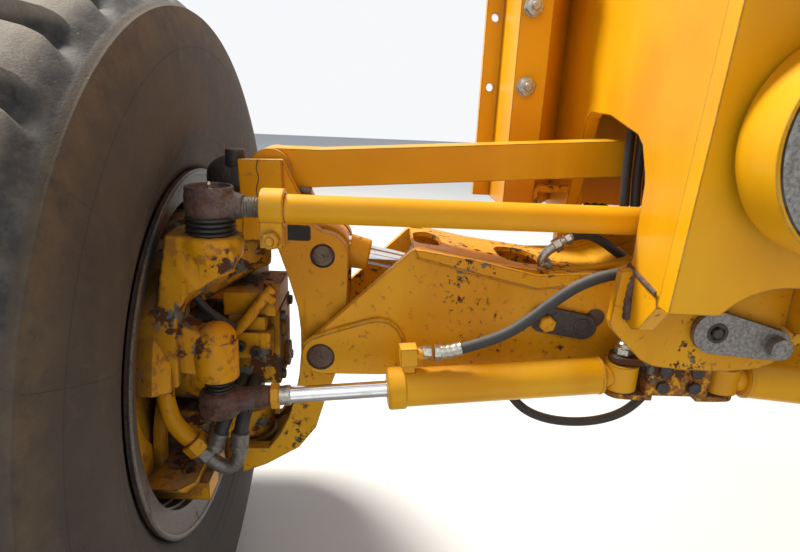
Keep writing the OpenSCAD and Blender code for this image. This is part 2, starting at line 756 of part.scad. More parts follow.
nose_sides();
nose_rear_plate();
nose_front_plate();
nose_cap_plate();
nose_end();
mount_plate();
pin_lugs();
centre_pin();
pin_retainer();
drawbar_socket();
beam_plates();
beam_top_plate();
beam_bottom_plate();
pivot_tube();
beam_retainer();
steer_bracket();
lean_pins();
lean_barrel();
yoke(1);  // yoke_left
yoke(-1);  // yoke_right
yoke_pins(1);  // yoke_pins_left
yoke_pins(-1);  // yoke_pins_right
kingpin_cap(1);  // kingpin_cap_left
kingpin_cap(-1);  // kingpin_cap_right
knuckle(1);  // knuckle_left
knuckle(-1);  // knuckle_right
hub_motor(1);  // hub_motor_left
hub_motor(-1);  // hub_motor_right
motor_pipes(1);  // motor_pipes_left
motor_pipes(-1);  // motor_pipes_right
tyre(1);  // tyre_left
tyre(-1);  // tyre_right
rim(1);  // rim_left
rim(-1);  // rim_right
wheel_hub(1);  // wheel_hub_left
wheel_hub(-1);  // wheel_hub_right
lean_bar();
track_rod_boot();
track_rod();
lean_rod();
steer_barrel(1);  // steer_barrel_left
steer_barrel(-1);  // steer_barrel_right
steer_rod(1);  // steer_rod_left
steer_rod(-1);  // steer_rod_right
steer_hose(1);  // steer_hose_left
steer_hose(-1);  // steer_hose_right
loop_hose();
hose_block();
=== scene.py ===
"""Looks of a motor grader's front axle and of the frame's nose that carries it.

The forms are measured in millimetres from the middle of the wheel axis: X runs forward, Y to the
left and Z up. row_place turns such a place into the frame's metres.
"""
from __future__ import annotations

import json
import logging
import math
from collections.abc import Iterable, Mapping, Sequence
from dataclasses import dataclass
from enum import Enum

import bmesh
import bpy
from mathutils import Matrix, Vector, noise

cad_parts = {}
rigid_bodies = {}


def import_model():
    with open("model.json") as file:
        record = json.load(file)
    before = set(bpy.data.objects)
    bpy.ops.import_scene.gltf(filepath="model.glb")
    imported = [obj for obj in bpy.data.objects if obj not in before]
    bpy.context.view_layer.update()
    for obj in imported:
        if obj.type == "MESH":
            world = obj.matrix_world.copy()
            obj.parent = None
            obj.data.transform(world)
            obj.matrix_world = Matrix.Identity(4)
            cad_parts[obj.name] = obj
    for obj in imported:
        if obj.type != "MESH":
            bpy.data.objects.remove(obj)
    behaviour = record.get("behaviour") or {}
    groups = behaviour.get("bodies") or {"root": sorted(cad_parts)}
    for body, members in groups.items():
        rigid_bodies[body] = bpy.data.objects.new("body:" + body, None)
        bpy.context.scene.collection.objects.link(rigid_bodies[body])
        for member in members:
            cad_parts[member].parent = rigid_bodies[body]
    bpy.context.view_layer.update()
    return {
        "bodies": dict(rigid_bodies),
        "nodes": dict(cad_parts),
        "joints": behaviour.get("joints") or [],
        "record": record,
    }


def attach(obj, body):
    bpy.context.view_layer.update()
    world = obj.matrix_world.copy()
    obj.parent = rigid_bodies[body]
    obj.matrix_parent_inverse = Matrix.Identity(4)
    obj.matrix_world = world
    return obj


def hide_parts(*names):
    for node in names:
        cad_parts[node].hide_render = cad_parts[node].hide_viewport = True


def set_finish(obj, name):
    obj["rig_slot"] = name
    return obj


log = logging.getLogger("grader_axle")

Point = tuple[float, float, float]
Flat = tuple[float, float]
Outline = tuple[Flat, ...]
Route = tuple[Point, ...]
Colour = tuple[float, float, float]

MM = 0.001
FRAME_END_X = 620.0
FRAME_END_Z = 860.0
TYRE_RADIUS = 674.0
TYRE_Y = 1070.0
KINGPIN_Y = 790.0
ARM = 206.0
RIM_INNER_Y = 870.0
TRACK_ROD_Z = 330.0
LEAN_Y = 632.0
LEAN_PIN_Z = 37.0
LEAN_EYE_Z = 221.0
CENTRE_PIN_Z = 169.0
SOCKET_Z = 468.0
BEAM_X = 100.0
YOKE_X = 77.0
STEER_BASE: Point = (-155.0, 92.0, 42.0)
STEER_EYE: Point = (-206.0, 790.0, 0.0)
AHEAD: Point = (1, 0, 0)
REAR: Point = (-1, 0, 0)
OUTWARD: Point = (0, 1, 0)
INWARD: Point = (0, -1, 0)
UP: Point = (0, 0, 1)

YELLOW: Colour = (0.84, 0.405, 0.003)
PRIMER: Colour = (0.15, 0.16, 0.14)
RUST: Colour = (0.10, 0.040, 0.018)
DUST: Colour = (0.42, 0.33, 0.22)
SOOT: Colour = (0.022, 0.020, 0.019)


class Side(Enum):
    """The machine's two sides, as the sign of Y."""

    LEFT = 1
    RIGHT = -1

    @property
    def word(self) -> str:
        """The side's word in the names of nodes and bodies."""
        return self.name.lower()


class Slot(Enum):
    """The record's material slots."""

    PAINT = "paint"
    STEEL = "steel"
    CAST = "cast"
    CHROME = "chrome"
    RUBBER = "rubber"
    TYRE = "tyre"


class Axis(Enum):
    """The axis along which a flat outline is drawn out."""

    X = 0
    Y = 1
    Z = 2

    def place(self, a: float, b: float, depth: float) -> Point:
        """Places a point of the outline at a depth along this axis.

        Args:
            a: First coordinate in the outline.
            b: Second coordinate in the outline.
            depth: Distance along the axis.

        Returns:
            The point in space.
        """
        spots = {Axis.X: (depth, a, b), Axis.Y: (a, depth, b), Axis.Z: (a, b, depth)}
        return spots[self]


def row_place(point: Sequence[float], side: Side = Side.LEFT) -> Vector:
    """Turns millimetres from the wheel axis into metres in the frame.

    Args:
        point: Place on the left side of the axle.
        side: Side on which it is wanted.

    Returns:
        The place in the frame.
    """
    x, y, z = point
    return Vector((x + FRAME_END_X, y * side.value, z - FRAME_END_Z)) * MM


def smooth_step(low: float, high: float, value: float) -> float:
    """Rises smoothly from 0 at low to 1 at high."""
    t = min(1.0, max(0.0, (value - low) / (high - low)))
    return t * t * (3 - 2 * t)


def curve_through(points: Sequence[Sequence[float]], steps: int) -> list[Vector]:
    """Draws one smooth curve through all points.

    Args:
        points: Points that the curve passes.
        steps: Points of the curve for each stretch.

    Returns:
        Points along the curve, ends included.
    """
    spots = [Vector(p) for p in points]
    path = []
    for i in range(len(spots) - 1):
        a, b = spots[max(0, i - 1)], spots[i]
        c, d = spots[i + 1], spots[min(len(spots) - 1, i + 2)]
        for k in range(steps):
            t = k / steps
            path.append(0.5 * (2 * b + (c - a) * t + (2 * a - 5 * b + 4 * c - d) * t * t
                               + (3 * b - a - 3 * c + d) * t * t * t))
    path.append(spots[-1])
    return path


class Sock:
    """One output of a shader node, with the sums that are used on it."""

    def __init__(self, tree: Tree, socket: bpy.types.NodeSocket) -> None:
        """Wraps a socket of a tree."""
        self.tree = tree
        self.socket = socket

    def __add__(self, other: Sock | float) -> Sock:
        """Adds a value."""
        return self.tree.math("ADD", self, other)

    def __radd__(self, other: Sock | float) -> Sock:
        """Is added to a value."""
        return self.tree.math("ADD", other, self)

    def __sub__(self, other: Sock | float) -> Sock:
        """Takes a value away."""
        return self.tree.math("SUBTRACT", self, other)

    def __rsub__(self, other: Sock | float) -> Sock:
        """Is taken from a value."""
        return self.tree.math("SUBTRACT", other, self)

    def __mul__(self, other: Sock | float) -> Sock:
        """Multiplies by a value."""
        return self.tree.math("MULTIPLY", self, other)

    def __rmul__(self, other: Sock | float) -> Sock:
        """Multiplies a value."""
        return self.tree.math("MULTIPLY", other, self)

    def __or__(self, other: Sock | float) -> Sock:
        """Takes the larger of two masks."""
        return self.tree.math("MAXIMUM", self, other)

    def band(self, low: float, high: float) -> Sock:
        """Rises smoothly from 0 at low to 1 at high."""
        return self.tree.node("ShaderNodeMapRange", {"interpolation_type": "SMOOTHSTEP"},
                              {0: self, 1: low, 2: high})


class Tree:
    """The shader nodes of one material."""

    def __init__(self, name: str) -> None:
        """Starts an empty material."""
        self.material = bpy.data.materials.new(name)
        self.material.use_nodes = True
        self.material.node_tree.nodes.clear()
        self.place = self.node("ShaderNodeTexCoord", output="Object")

    def node(self, kind: str, settings: Mapping[str, object] | None = None,
             sockets: Mapping[str | int, object] | None = None, output: str | int = 0) -> Sock:
        """Adds a node.

        Args:
            kind: Type of the node.
            settings: Values of the node's own settings, which are set first.
            sockets: Values or links of its inputs, by name or number.
            output: Name or number of the output that is wanted.

        Returns:
            That output.
        """
        made = self.material.node_tree.nodes.new(kind)
        for key, value in (settings or {}).items():
            setattr(made, key, value)
        for key, value in (sockets or {}).items():
            if isinstance(value, Sock):
                self.material.node_tree.links.new(value.socket, made.inputs[key])
            else:
                made.inputs[key].default_value = value
        return Sock(self, made.outputs[output])

    def math(self, operation: str, *values: Sock | float) -> Sock:
        """Adds a Math node on numbers."""
        return self.node("ShaderNodeMath", {"operation": operation}, dict(enumerate(values)))

    def mix(self, share: Sock | float, first: Sock | Colour, second: Sock | Colour) -> Sock:
        """Mixes two colours by a share of the second."""
        pair = [c if isinstance(c, Sock) else (*c, 1.0) for c in (first, second)]
        return self.node("ShaderNodeMix", {"data_type": "RGBA"},
                         {0: share, 6: pair[0], 7: pair[1]}, 2)

    def grain(self, size: float, detail: float = 4.0, rough: float = 0.55,
              stretch: Point = (1.0, 1.0, 1.0), shift: float = 0.0) -> Sock:
        """Adds a cloudy pattern.

        Args:
            size: Rough size of its patches in millimetres.
            detail: Number of finer layers.
            rough: Strength of the finer layers.
            stretch: Length of the patches along each axis.
            shift: Distance that sets it apart from other patterns.

        Returns:
            The pattern, about 0.5 in the middle.
        """
        scale = [1 / (size * MM * s) for s in stretch]
        spot = self.node("ShaderNodeMapping", {},
                         {"Vector": self.place, "Location": (shift,) * 3, "Scale": scale})
        return self.node("ShaderNodeTexNoise", {},
                         {"Vector": spot, "Scale": 1.0, "Detail": detail, "Roughness": rough})

    def edges(self, reach: float) -> Sock:
        """Marks edges and corners within a reach in millimetres."""
        soft = self.node("ShaderNodeBevel", {"samples": 3}, {"Radius": reach * MM})
        flat = self.node("ShaderNodeNewGeometry", output="Normal")
        same = self.node("ShaderNodeVectorMath", {"operation": "DOT_PRODUCT"},
                         {0: soft, 1: flat}, "Value")
        return (1 - same).band(0.01, 0.12)

    def upward(self) -> Sock:
        """Marks what faces up."""
        flat = self.node("ShaderNodeNewGeometry", output="Normal")
        height = self.node("ShaderNodeSeparateXYZ", {}, {0: flat}, "Z")
        return height.band(0.35, 0.95)

    def hollows(self, reach: float) -> Sock:
        """Marks corners and hollows within a reach in millimetres."""
        free = self.node("ShaderNodeAmbientOcclusion", {"samples": 3},
                         {"Distance": reach * MM}, "AO")
        return (1 - free).band(0.15, 0.8)

    def finish(self, colour: Sock | Colour, rough: Sock | float, metal: Sock | float,
               height: Sock, depth: float, round_edge: float = 0.0,
               **constants: float) -> bpy.types.Material:
        """Ends the material with its surface.

        Args:
            colour: Base colour.
            rough: Roughness.
            metal: Metallic share.
            height: Relief, from 0 to about 1.
            depth: Depth of the relief in millimetres.
            round_edge: Radius of softened edges in millimetres.
            constants: Further values of the surface, with _ for a space.

        Returns:
            The material.
        """
        relief: dict[str | int, object] = {"Height": height, "Distance": depth * MM}
        if round_edge:
            relief["Normal"] = self.node("ShaderNodeBevel", {"samples": 3},
                                         {"Radius": round_edge * MM})
        bump = self.node("ShaderNodeBump", {}, relief)
        base = colour if isinstance(colour, Sock) else (*colour, 1.0)
        values = {"Base Color": base, "Roughness": rough, "Metallic": metal, "Normal": bump}
        values.update({key.replace("_", " "): value for key, value in constants.items()})
        surface = self.node("ShaderNodeBsdfPrincipled", {}, values)
        end = self.material.node_tree.nodes.new("ShaderNodeOutputMaterial")
        self.material.node_tree.links.new(surface.socket, end.inputs["Surface"])
        return self.material


@dataclass(frozen=True)
class Finish:
    """A finish that a piece can have."""

    name: str
    slot: Slot

    def build(self) -> bpy.types.Material:
        """Builds the material."""
        raise NotImplementedError


@dataclass(frozen=True)
class Paint(Finish):
    """Machine paint, chipped to primer and rust, with streaks of dirt, painted shade in corners and hollows,
    and dust on what faces up.
    """

    colour: Colour = YELLOW
    chips: float = 0.3
    worn_edge: float = 0.5
    grime: float = 0.3
    gloss: float = 0.40
    cast_skin: float = 0.0
    chip_size: float = 14.0
    round_edge: float = 2.5

    def build(self) -> bpy.types.Material:
        """Builds the material."""
        tree = Tree(self.name)
        tone = tree.grain(420, 3.0)
        deep = tuple(c * f for c, f in zip(self.colour, (0.84, 0.74, 0.6)))
        pale = tuple(min(1.0, c * f) for c, f in zip(self.colour, (1.05, 1.16, 3.0)))
        colour = tree.mix(tone.band(0.35, 0.65), deep, self.colour)
        colour = tree.mix(tree.grain(150, 4.0, 0.6, (1, 1, 2.5), 3.0).band(0.45, 0.75) * 0.5, colour, pale)
        streak = tree.grain(26, 5.0, 0.62, (1, 1, 7.0), 5.0).band(0.52, 0.8)
        spots = tree.grain(55, 6.0, 0.68, shift=9.0)
        # Streaks of dirt plus painted shade: ambient occlusion darkens corners and hollows towards dark
        # brown.
        grime = (streak * 0.45 | tree.hollows(70) * 0.95) * spots.band(0.15, 0.6) * (2.2 * self.grime)
        colour = tree.mix(grime.band(0, 1.2), colour, (0.075, 0.036, 0.008))
        dust = tree.upward() * tree.grain(90, 5.0, 0.6, shift=13.0).band(0.35, 0.7)
        colour = tree.mix(dust * (0.55 * self.grime), colour, DUST)
        zone = tree.grain(150, 2.0, 0.5, shift=21.0).band(0.46, 0.64)
        flecks = tree.grain(self.chip_size, 6.0, 0.70, shift=27.0)
        bare_from = 0.80 - 0.20 * self.chips
        scatter = (flecks + zone * (0.16 * (0.4 + self.chips)) - 0.09).band(bare_from - 0.012,
                                                                            bare_from + 0.012)
        rim = tree.edges(4.0) * (0.55 + 0.7 * self.worn_edge)
        torn = (rim + tree.grain(22, 6.0, 0.7, shift=31.0) * 0.9).band(1.02, 1.08)
        bare = scatter | torn
        halo = (flecks + zone * 0.06).band(bare_from - 0.06, bare_from) * 0.5
        colour = tree.mix(halo * self.chips * 1.4, colour, (0.30, 0.11, 0.02))
        under = tree.mix(tree.grain(30, 3.0, 0.6, shift=35.0).band(0.50, 0.56), RUST, PRIMER)
        colour = tree.mix(bare, colour, under)
        rough = self.gloss + grime * 0.3 + dust * 0.25 + bare * 0.35 + (spots - 0.5) * 0.12
        skin = tree.grain(1.8, 2.0, 0.5, shift=40.0) * 0.06 + tree.grain(9, 4.0, 0.6,
                                                                         shift=41.0) * self.cast_skin
        relief = skin - bare * 0.35 + grime * 0.05
        return tree.finish(colour, rough, 0.0, relief, 1.3, self.round_edge, Specular_IOR_Level=0.28)


@dataclass(frozen=True)
class Steel(Finish):
    """Bare steel or iron with rust over part of it."""

    bright: Colour = (0.34, 0.33, 0.31)
    dark: Colour = (0.15, 0.135, 0.125)
    rust: float = 0.3
    shine: float = 0.42
    metal: float = 0.85
    pits: float = 0.4
    stain: Colour = RUST
    round_edge: float = 1.5

    def build(self) -> bpy.types.Material:
        """Builds the material."""
        tree = Tree(self.name)
        patch = tree.grain(60, 6.0, 0.66, shift=51.0)
        fine = tree.grain(5, 5.0, 0.7, shift=53.0)
        rust = (patch * 0.75 + fine * 0.35 + tree.hollows(25) * 0.15).band(0.80 - 0.45 * self.rust,
                                                                         0.90 - 0.40 * self.rust)
        colour = tree.mix(fine.band(0.3, 0.7), self.dark, self.bright)
        brown = tree.mix(tree.grain(14, 4.0, 0.6, shift=57.0).band(0.35, 0.7),
                         tuple(c * 0.55 for c in self.stain), tuple(min(1.0, c * 1.7) for c in self.stain))
        colour = tree.mix(rust, colour, brown)
        rub = tree.edges(3.0) * patch.band(0.35, 0.6) * 0.5
        colour = tree.mix(rub, colour, self.bright)
        rough = self.shine + rust * (0.85 - self.shine) + (fine - 0.5) * 0.1
        return tree.finish(colour, rough, (1 - rust * 0.85) * self.metal,
                           fine * self.pits * (0.4 + rust), 0.9, self.round_edge)


@dataclass(frozen=True)
class Chrome(Finish):
    """A polished cylinder rod with fine scratches and a film of oil."""

    def build(self) -> bpy.types.Material:
        """Builds the material."""
        tree = Tree(self.name)
        scratch = tree.grain(1.6, 3.0, 0.6, (14, 14, 1))
        film = tree.grain(35, 4.0, 0.6, shift=3.0).band(0.5, 0.75)
        colour = tree.mix(film * 0.5, (0.78, 0.79, 0.80), (0.50, 0.45, 0.38))
        return tree.finish(colour, 0.10 + film * 0.18 + scratch * 0.06, 1.0, scratch, 0.05)


@dataclass(frozen=True)
class Rubber(Finish):
    """Hose and boot rubber under dust."""

    colour: Colour = (0.030, 0.030, 0.031)
    dusty: float = 0.5
    shine: float = 0.55

    def build(self) -> bpy.types.Material:
        """Builds the material."""
        tree = Tree(self.name)
        cloud = tree.grain(45, 5.0, 0.62)
        fine = tree.grain(2.4, 3.0, 0.6, shift=7.0)
        dust = (tree.upward() * 0.7 + cloud.band(0.4, 0.8) * 0.5) * self.dusty
        grey = tuple(0.6 * c + 0.4 * sum(DUST) / 3 for c in DUST)
        colour = tree.mix(dust.band(0, 1.3) * 0.75, self.colour, grey)
        colour = tree.mix(tree.edges(2.0) * cloud.band(0.4, 0.6) * 0.3, colour, (0.16, 0.15, 0.14))
        return tree.finish(colour, self.shine + dust * 0.3, 0.0, fine * 0.6 + cloud * 0.4, 0.5)


@dataclass(frozen=True)
class TyreRubber(Finish):
    """Tyre rubber: pale dust on the lugs, dark grooves, brown walls with fine mould lines, and painted shade
    darkening the walls towards the bottom.
    """

    side: Side = Side.LEFT

    def build(self) -> bpy.types.Material:
        """Builds the material."""
        tree = Tree(self.name)
        middle = row_place((0, TYRE_Y, 0), self.side)
        spot = tree.node("ShaderNodeVectorMath", {"operation": "SUBTRACT"},
                         {0: tree.place, 1: tuple(middle)}, "Vector")
        x, y, z = (tree.node("ShaderNodeSeparateXYZ", {}, {0: spot}, name) for name in "XYZ")
        radius = tree.math("SQRT", x * x + z * z) * (1 / MM)
        wide = tree.math("ABSOLUTE", y) * (1 / MM)
        turn = tree.math("ARCTAN2", z, x)
        cloud = tree.grain(120, 5.0, 0.62)
        patch = tree.grain(34, 5.0, 0.66, (1, 1, 1), 5.0)
        fine = tree.grain(4, 4.0, 0.7, shift=8.0)
        wall = tree.mix(cloud.band(0.3, 0.7), (0.040, 0.031, 0.025), (0.070, 0.053, 0.040))
        wall = tree.mix(patch.band(0.5, 0.78) * 0.5, wall, (0.115, 0.088, 0.060))
        below = radius.band(560, 622) * (1 - radius.band(622, 640))
        wall = tree.mix(below * patch.band(0.28, 0.6) * 0.5, wall, (0.15, 0.105, 0.055))
        tread = tree.mix(cloud.band(0.3, 0.65), (0.11, 0.090, 0.070), (0.24, 0.20, 0.155))
        tread = tree.mix(fine.band(0.45, 0.65) * 0.35, tread, (0.32, 0.275, 0.225))
        floor = tree.mix(patch.band(0.35, 0.7), (0.030, 0.028, 0.027), (0.10, 0.090, 0.080))
        worn = radius.band(648, 664)
        tread = tree.mix(worn, floor, tread)
        # Painted shade: the wall darkens towards the bottom of the tyre.
        wall = tree.mix((1 - (z * (1 / MM)).band(-420, 260)) * 0.6, wall, (0.022, 0.019, 0.018))
        colour = tree.mix((1 - wide.band(186, 192)) * radius.band(620, 626), wall, tread)
        seam = (1 - tree.math("ABSOLUTE", tree.math("SINE", turn * 9.0)).band(0.0, 0.012)) * (
            1 - radius.band(610, 618))
        ring = 1 - tree.math("ABSOLUTE", radius - 566).band(0.6, 1.8)
        lines = seam * 0.7 | ring * 0.7
        colour = tree.mix(lines * 0.55, colour, SOOT)
        chips = tree.grain(11, 2.0, 0.5, shift=17.0).band(0.70, 0.74)
        relief = fine * 0.5 + patch * 0.35 - lines * 0.8 - chips * 0.7
        return tree.finish(colour, 0.78 + (cloud - 0.5) * 0.2, 0.0, relief, 1.4, 3.0)


@dataclass(frozen=True)
class Ground(Finish):
    """The studio's pale floor."""

    def build(self) -> bpy.types.Material:
        """Builds the material."""
        tree = Tree(self.name)
        cloud = tree.grain(900, 2.0)
        colour = tree.mix(cloud.band(0.2, 0.8), (0.74, 0.73, 0.71), (0.79, 0.78, 0.765))
        return tree.finish(colour, 0.9, 0.0, tree.grain(6, 3.0), 0.3)


PAINT = Paint("paint_plates", Slot.PAINT, chips=0.75, grime=0.25)
NOSE_PAINT = Paint("paint_nose", Slot.PAINT, chips=0.12, grime=0.16, gloss=0.36)
LINK_PAINT = Paint("paint_links", Slot.PAINT, chips=0.20, grime=0.18, gloss=0.34)
CAST_PAINT = Paint("paint_castings", Slot.PAINT, chips=1.0, grime=1.25, worn_edge=0.9, gloss=0.48,
                   cast_skin=0.35,
                   chip_size=34.0)
ARM_PAINT = Paint("paint_lower_arms", Slot.PAINT, chips=0.75, grime=0.75, worn_edge=0.9, gloss=0.45,
                  chip_size=22.0)
BLACK_PAINT = Paint("paint_black", Slot.CAST, colour=(0.030, 0.030, 0.031), chips=0.15, grime=0.5, gloss=0.5)
PLATE_STEEL = Steel("steel_plate", Slot.STEEL, rust=0.15, shine=0.5, metal=0.7)
PIN_STEEL = Steel("steel_pins", Slot.STEEL, bright=(0.17, 0.12, 0.09), dark=(0.10, 0.07, 0.055), rust=0.55)
ROD_IRON = Steel("iron_rod_ends", Slot.CAST, bright=(0.16, 0.12, 0.105), dark=(0.07, 0.045, 0.038), rust=0.62,
                 shine=0.5, metal=0.5, pits=0.8, stain=(0.115, 0.052, 0.034))
DARK_IRON = Steel("iron_dark", Slot.CAST, bright=(0.09, 0.075, 0.068), dark=(0.035, 0.03, 0.028), rust=0.3,
                  metal=0.4, shine=0.55)
RIM_STEEL = Steel("steel_rims", Slot.STEEL, bright=(0.15, 0.125, 0.11), dark=(0.06, 0.05, 0.045), rust=0.40,
                  metal=0.35, shine=0.5)
ZINC = Steel("steel_fittings", Slot.STEEL, bright=(0.52, 0.50, 0.44), dark=(0.30, 0.28, 0.24), rust=0.12,
             shine=0.32, pits=0.2)
CHROME = Chrome("chrome_rods", Slot.CHROME)
HOSE = Rubber("rubber_hoses", Slot.RUBBER)
FITTING = Steel("steel_old_fittings", Slot.STEEL, bright=(0.27, 0.25, 0.22), dark=(0.14, 0.125, 0.11),
                rust=0.35,
                metal=0.6, shine=0.5)
LIP_STEEL = Steel("steel_rim_lips", Slot.STEEL, bright=(0.20, 0.18, 0.165), dark=(0.09, 0.078, 0.07),
                  rust=0.35,
                  metal=0.5, shine=0.5)
FLAKED_PAINT = Paint("paint_flaking", Slot.CAST, chips=1.55, grime=0.9, worn_edge=1.0, gloss=0.5,
                     cast_skin=0.3)
WELD_PAINT = Paint("paint_welds", Slot.PAINT, chips=0.5, grime=0.3, worn_edge=0.5, gloss=0.45)
BOOT = Rubber("rubber_boots", Slot.RUBBER, colour=(0.016, 0.016, 0.017), dusty=0.3, shine=0.42)
TYRES = {side: TyreRubber(f"rubber_tyre_{side.word}", Slot.TYRE, side) for side in Side}
GROUND = Ground("studio_floor", Slot.PAINT)

BUILT: dict[str, bpy.types.Material] = {}


def material_of(finish: Finish) -> bpy.types.Material:
    """Gives a finish's material, which is built once."""
    if finish.name not in BUILT:
        BUILT[finish.name] = finish.build()
    return BUILT[finish.name]


@dataclass(frozen=True)
class Cast:
    """How closed shapes flow into one rough casting, in millimetres.

    Where within isn't 0, the casting keeps that radius round the wheel axis inside the rim.
    """

    voxel: float = 4.0
    rounds: int = 4
    rough: float = 0.8
    grain: float = 14.0
    within: float = 0.0


class Form:
    """Points and faces of one piece, gathered in millimetres from the wheel axis."""

    def __init__(self, side: Side | None = None) -> None:
        """Starts an empty piece, on one side of the axle or, without a side, in its middle."""
        self.side = side or Side.LEFT
        self.ending = f"_{side.word}" if side else ""
        self.mesh = bmesh.new()

    def skin(self, points: Iterable[Sequence[float]], faces: Iterable[Sequence[int]]) -> None:
        """Adds points and the faces between them."""
        corners = [self.mesh.verts.new(row_place(p, self.side)) for p in points]
        for face in faces:
            self.mesh.faces.new([corners[i] for i in face])

    def prism(self, axis: Axis, outline: Sequence[Flat], low: float, high: float) -> None:
        """Adds a flat outline drawn out along an axis.

        Args:
            axis: Axis along which it is drawn out.
            outline: Corners in the other two coordinates.
            low: Where it starts.
            high: Where it ends.
        """
        count = len(outline)
        points = [axis.place(a, b, depth) for depth in (low, high) for a, b in outline]
        sides = [(i, (i + 1) % count, count + (i + 1) % count, count + i) for i in range(count)]
        self.skin(points, [range(count), range(count, 2 * count), *sides])

    def box(self, low: Point, high: Point) -> None:
        """Adds a block between two corners."""
        outline = [(low[0], low[1]), (high[0], low[1]), (high[0], high[1]), (low[0], high[1])]
        self.prism(Axis.Z, outline, low[2], high[2])

    def rings(self, rings: Sequence[Sequence[Sequence[float]]], closed: bool = False) -> None:
        """Adds a skin over rings of points, with its ends capped.

        Args:
            rings: Rings of as many points each; a ring of one point is a tip.
            closed: Whether the last ring joins the first.
        """
        points = [p for ring in rings for p in ring]
        starts = [sum(len(r) for r in rings[:i]) for i in range(len(rings))]
        faces: list[Sequence[int]] = []
        pairs = list(zip(range(len(rings)), range(1, len(rings))))
        if closed:
            pairs.append((len(rings) - 1, 0))
        for i, j in pairs:
            here, there = len(rings[i]), len(rings[j])
            for k in range(max(here, there)):
                nxt = (k + 1) % max(here, there)
                face = [starts[i] + k % here, starts[i] + nxt % here,
                        starts[j] + nxt % there, starts[j] + k % there]
                faces.append(list(dict.fromkeys(face)))
        if not closed:
            for i in (0, len(rings) - 1):
                if len(rings[i]) > 2:
                    faces.append([starts[i] + k for k in range(len(rings[i]))])
        self.skin(points, faces)

    def turned(self, base: Point, along: Point, profile: Sequence[Flat], steps: int = 40,
               turn: float = 0.0) -> None:
        """Adds a turned shape.

        Args:
            base: Start of its axis.
            along: Direction of its axis.
            profile: Radius and distance along the axis, from one end to the other.
            steps: Flats round it.
            turn: Angle of its first flat in degrees.
        """
        frame = Vector(along).to_track_quat("Z", "Y")
        rings = []
        for radius, height in profile:
            count = steps if radius > 1e-6 else 1
            angles = [math.radians(turn) + math.tau * k / steps for k in range(count)]
            rings.append([Vector(base) + frame @ Vector((radius * math.cos(a), radius * math.sin(a), height))
                          for a in angles])
        self.rings(rings)

    def tube(self, path: Sequence[Sequence[float]], radius: float | Sequence[float], sides: int = 14) -> None:
        """Adds a round tube along a path.

        Args:
            path: Points of its middle line.
            radius: Its radius, or one for each point.
            sides: Number of flat sides round it.
        """
        spots = [Vector(p) for p in path]
        radii = [radius] * len(spots) if isinstance(radius, (int, float)) else radius
        rings = []
        normal = None
        for i, spot in enumerate(spots):
            tangent = (spots[min(i + 1, len(spots) - 1)] - spots[max(i - 1, 0)]).normalized()
            normal = tangent.orthogonal() if normal is None else normal - tangent * normal.dot(tangent)
            normal.normalize()
            other = tangent.cross(normal)
            rings.append([spot + radii[i] * (math.cos(a) * normal + math.sin(a) * other)
                          for a in (math.tau * k / sides for k in range(sides))])
        self.rings(rings)

    def bent(self, points: Sequence[Sequence[float]], radius: float, sides: int, steps: int = 6) -> None:
        """Adds a round tube bent smoothly through some points."""
        self.tube(curve_through(points, steps), radius, sides)

    def hull(self, points: Iterable[Sequence[float]]) -> None:
        """Adds the convex shape round some points."""
        corners = [self.mesh.verts.new(row_place(p, self.side)) for p in points]
        made = bmesh.ops.convex_hull(self.mesh, input=corners)
        spare = [g for g in made["geom_interior"] if isinstance(g, bmesh.types.BMVert)]
        bmesh.ops.delete(self.mesh, geom=spare, context="VERTS")

    def hoop(self, base: Point, along: Point, section: Sequence[Flat], steps: int = 48) -> None:
        """Adds a ring.

        Args:
            base: Place on its axis.
            along: Direction of its axis.
            section: Closed section as radius and distance along the axis.
            steps: Flats round it.
        """
        frame = Vector(along).to_track_quat("Z", "Y")
        angles = [math.tau * k / steps for k in range(steps)]
        self.rings([[Vector(base) + frame @ Vector((r * math.cos(a), r * math.sin(a), h)) for r, h in section]
                    for a in angles], closed=True)

    def pin_end(self, base: Point, radius: float) -> None:
        """Adds the chamfered end of a pin that faces the rear, with its centre mark."""
        self.turned(base, REAR, [(0, -1), (radius, -1), (radius, 1.2), (radius - 1.6, 2.4), (4, 2.4),
                                 (2.4, 1.0),
                                 (0, 0.8)])

    def bolt(self, base: Point, along: Point, across: float, height: float, washer: float = 0.0,
             stud: float = 0.0) -> None:
        """Adds a bolt's head or a nut.

        Args:
            base: Where it sits.
            along: Direction in which it stands out.
            across: Width over its corners.
            height: Height of the head.
            washer: Radius of a washer under it, or 0.
            stud: Length of thread that stands out of it, or 0.
        """
        seat = 0.0
        if washer:
            self.turned(base, along, [(0, 0), (washer, 0), (washer, 2.4), (washer - 1, 3), (0, 3)], 24)
            seat = 3.0
        r = across / 2
        self.turned(base, along, [(0, seat), (r * 0.95, seat), (r, seat + 1.2), (r, seat + height - 1.6),
                                  (r * 0.84, seat + height), (0, seat + height)], 6, 17.0)
        if stud:
            self.turned(base, along, [(0, seat), (r * 0.45, seat), (r * 0.45, seat + height + stud),
                                      (r * 0.36, seat + height + stud + 1.5),
                                      (0, seat + height + stud + 1.5)], 16)

    def bead(self, path: Sequence[Sequence[float]], radius: float) -> None:
        """Adds a rippled weld bead along a path of corners.

        Args:
            path: The corners.
            radius: Mean radius of the bead.
        """
        spots = [Vector(p) for p in path]
        fine, radii = [], []
        for a, b in zip(spots, spots[1:]):
            count = max(2, round((b - a).length / (radius * 0.45)))
            for k in range(count):
                fine.append(a.lerp(b, k / count))
        fine.append(spots[-1])
        for i, spot in enumerate(fine):
            wave = 0.10 * math.sin(i * 2.1) + 0.16 * noise.noise(spot * 0.05)
            radii.append(radius * (1 + wave))
        self.tube(fine, radii, 8)

    def hexagon(self, base: Point, along: Point, across: float, length: float) -> None:
        """Adds a hexagonal fitting body."""
        r = across / 2
        self.turned(base, along, [(0, 0), (r * 0.93, 0), (r, 1), (r, length - 1), (r * 0.93, length),
                                  (0, length)], 6)

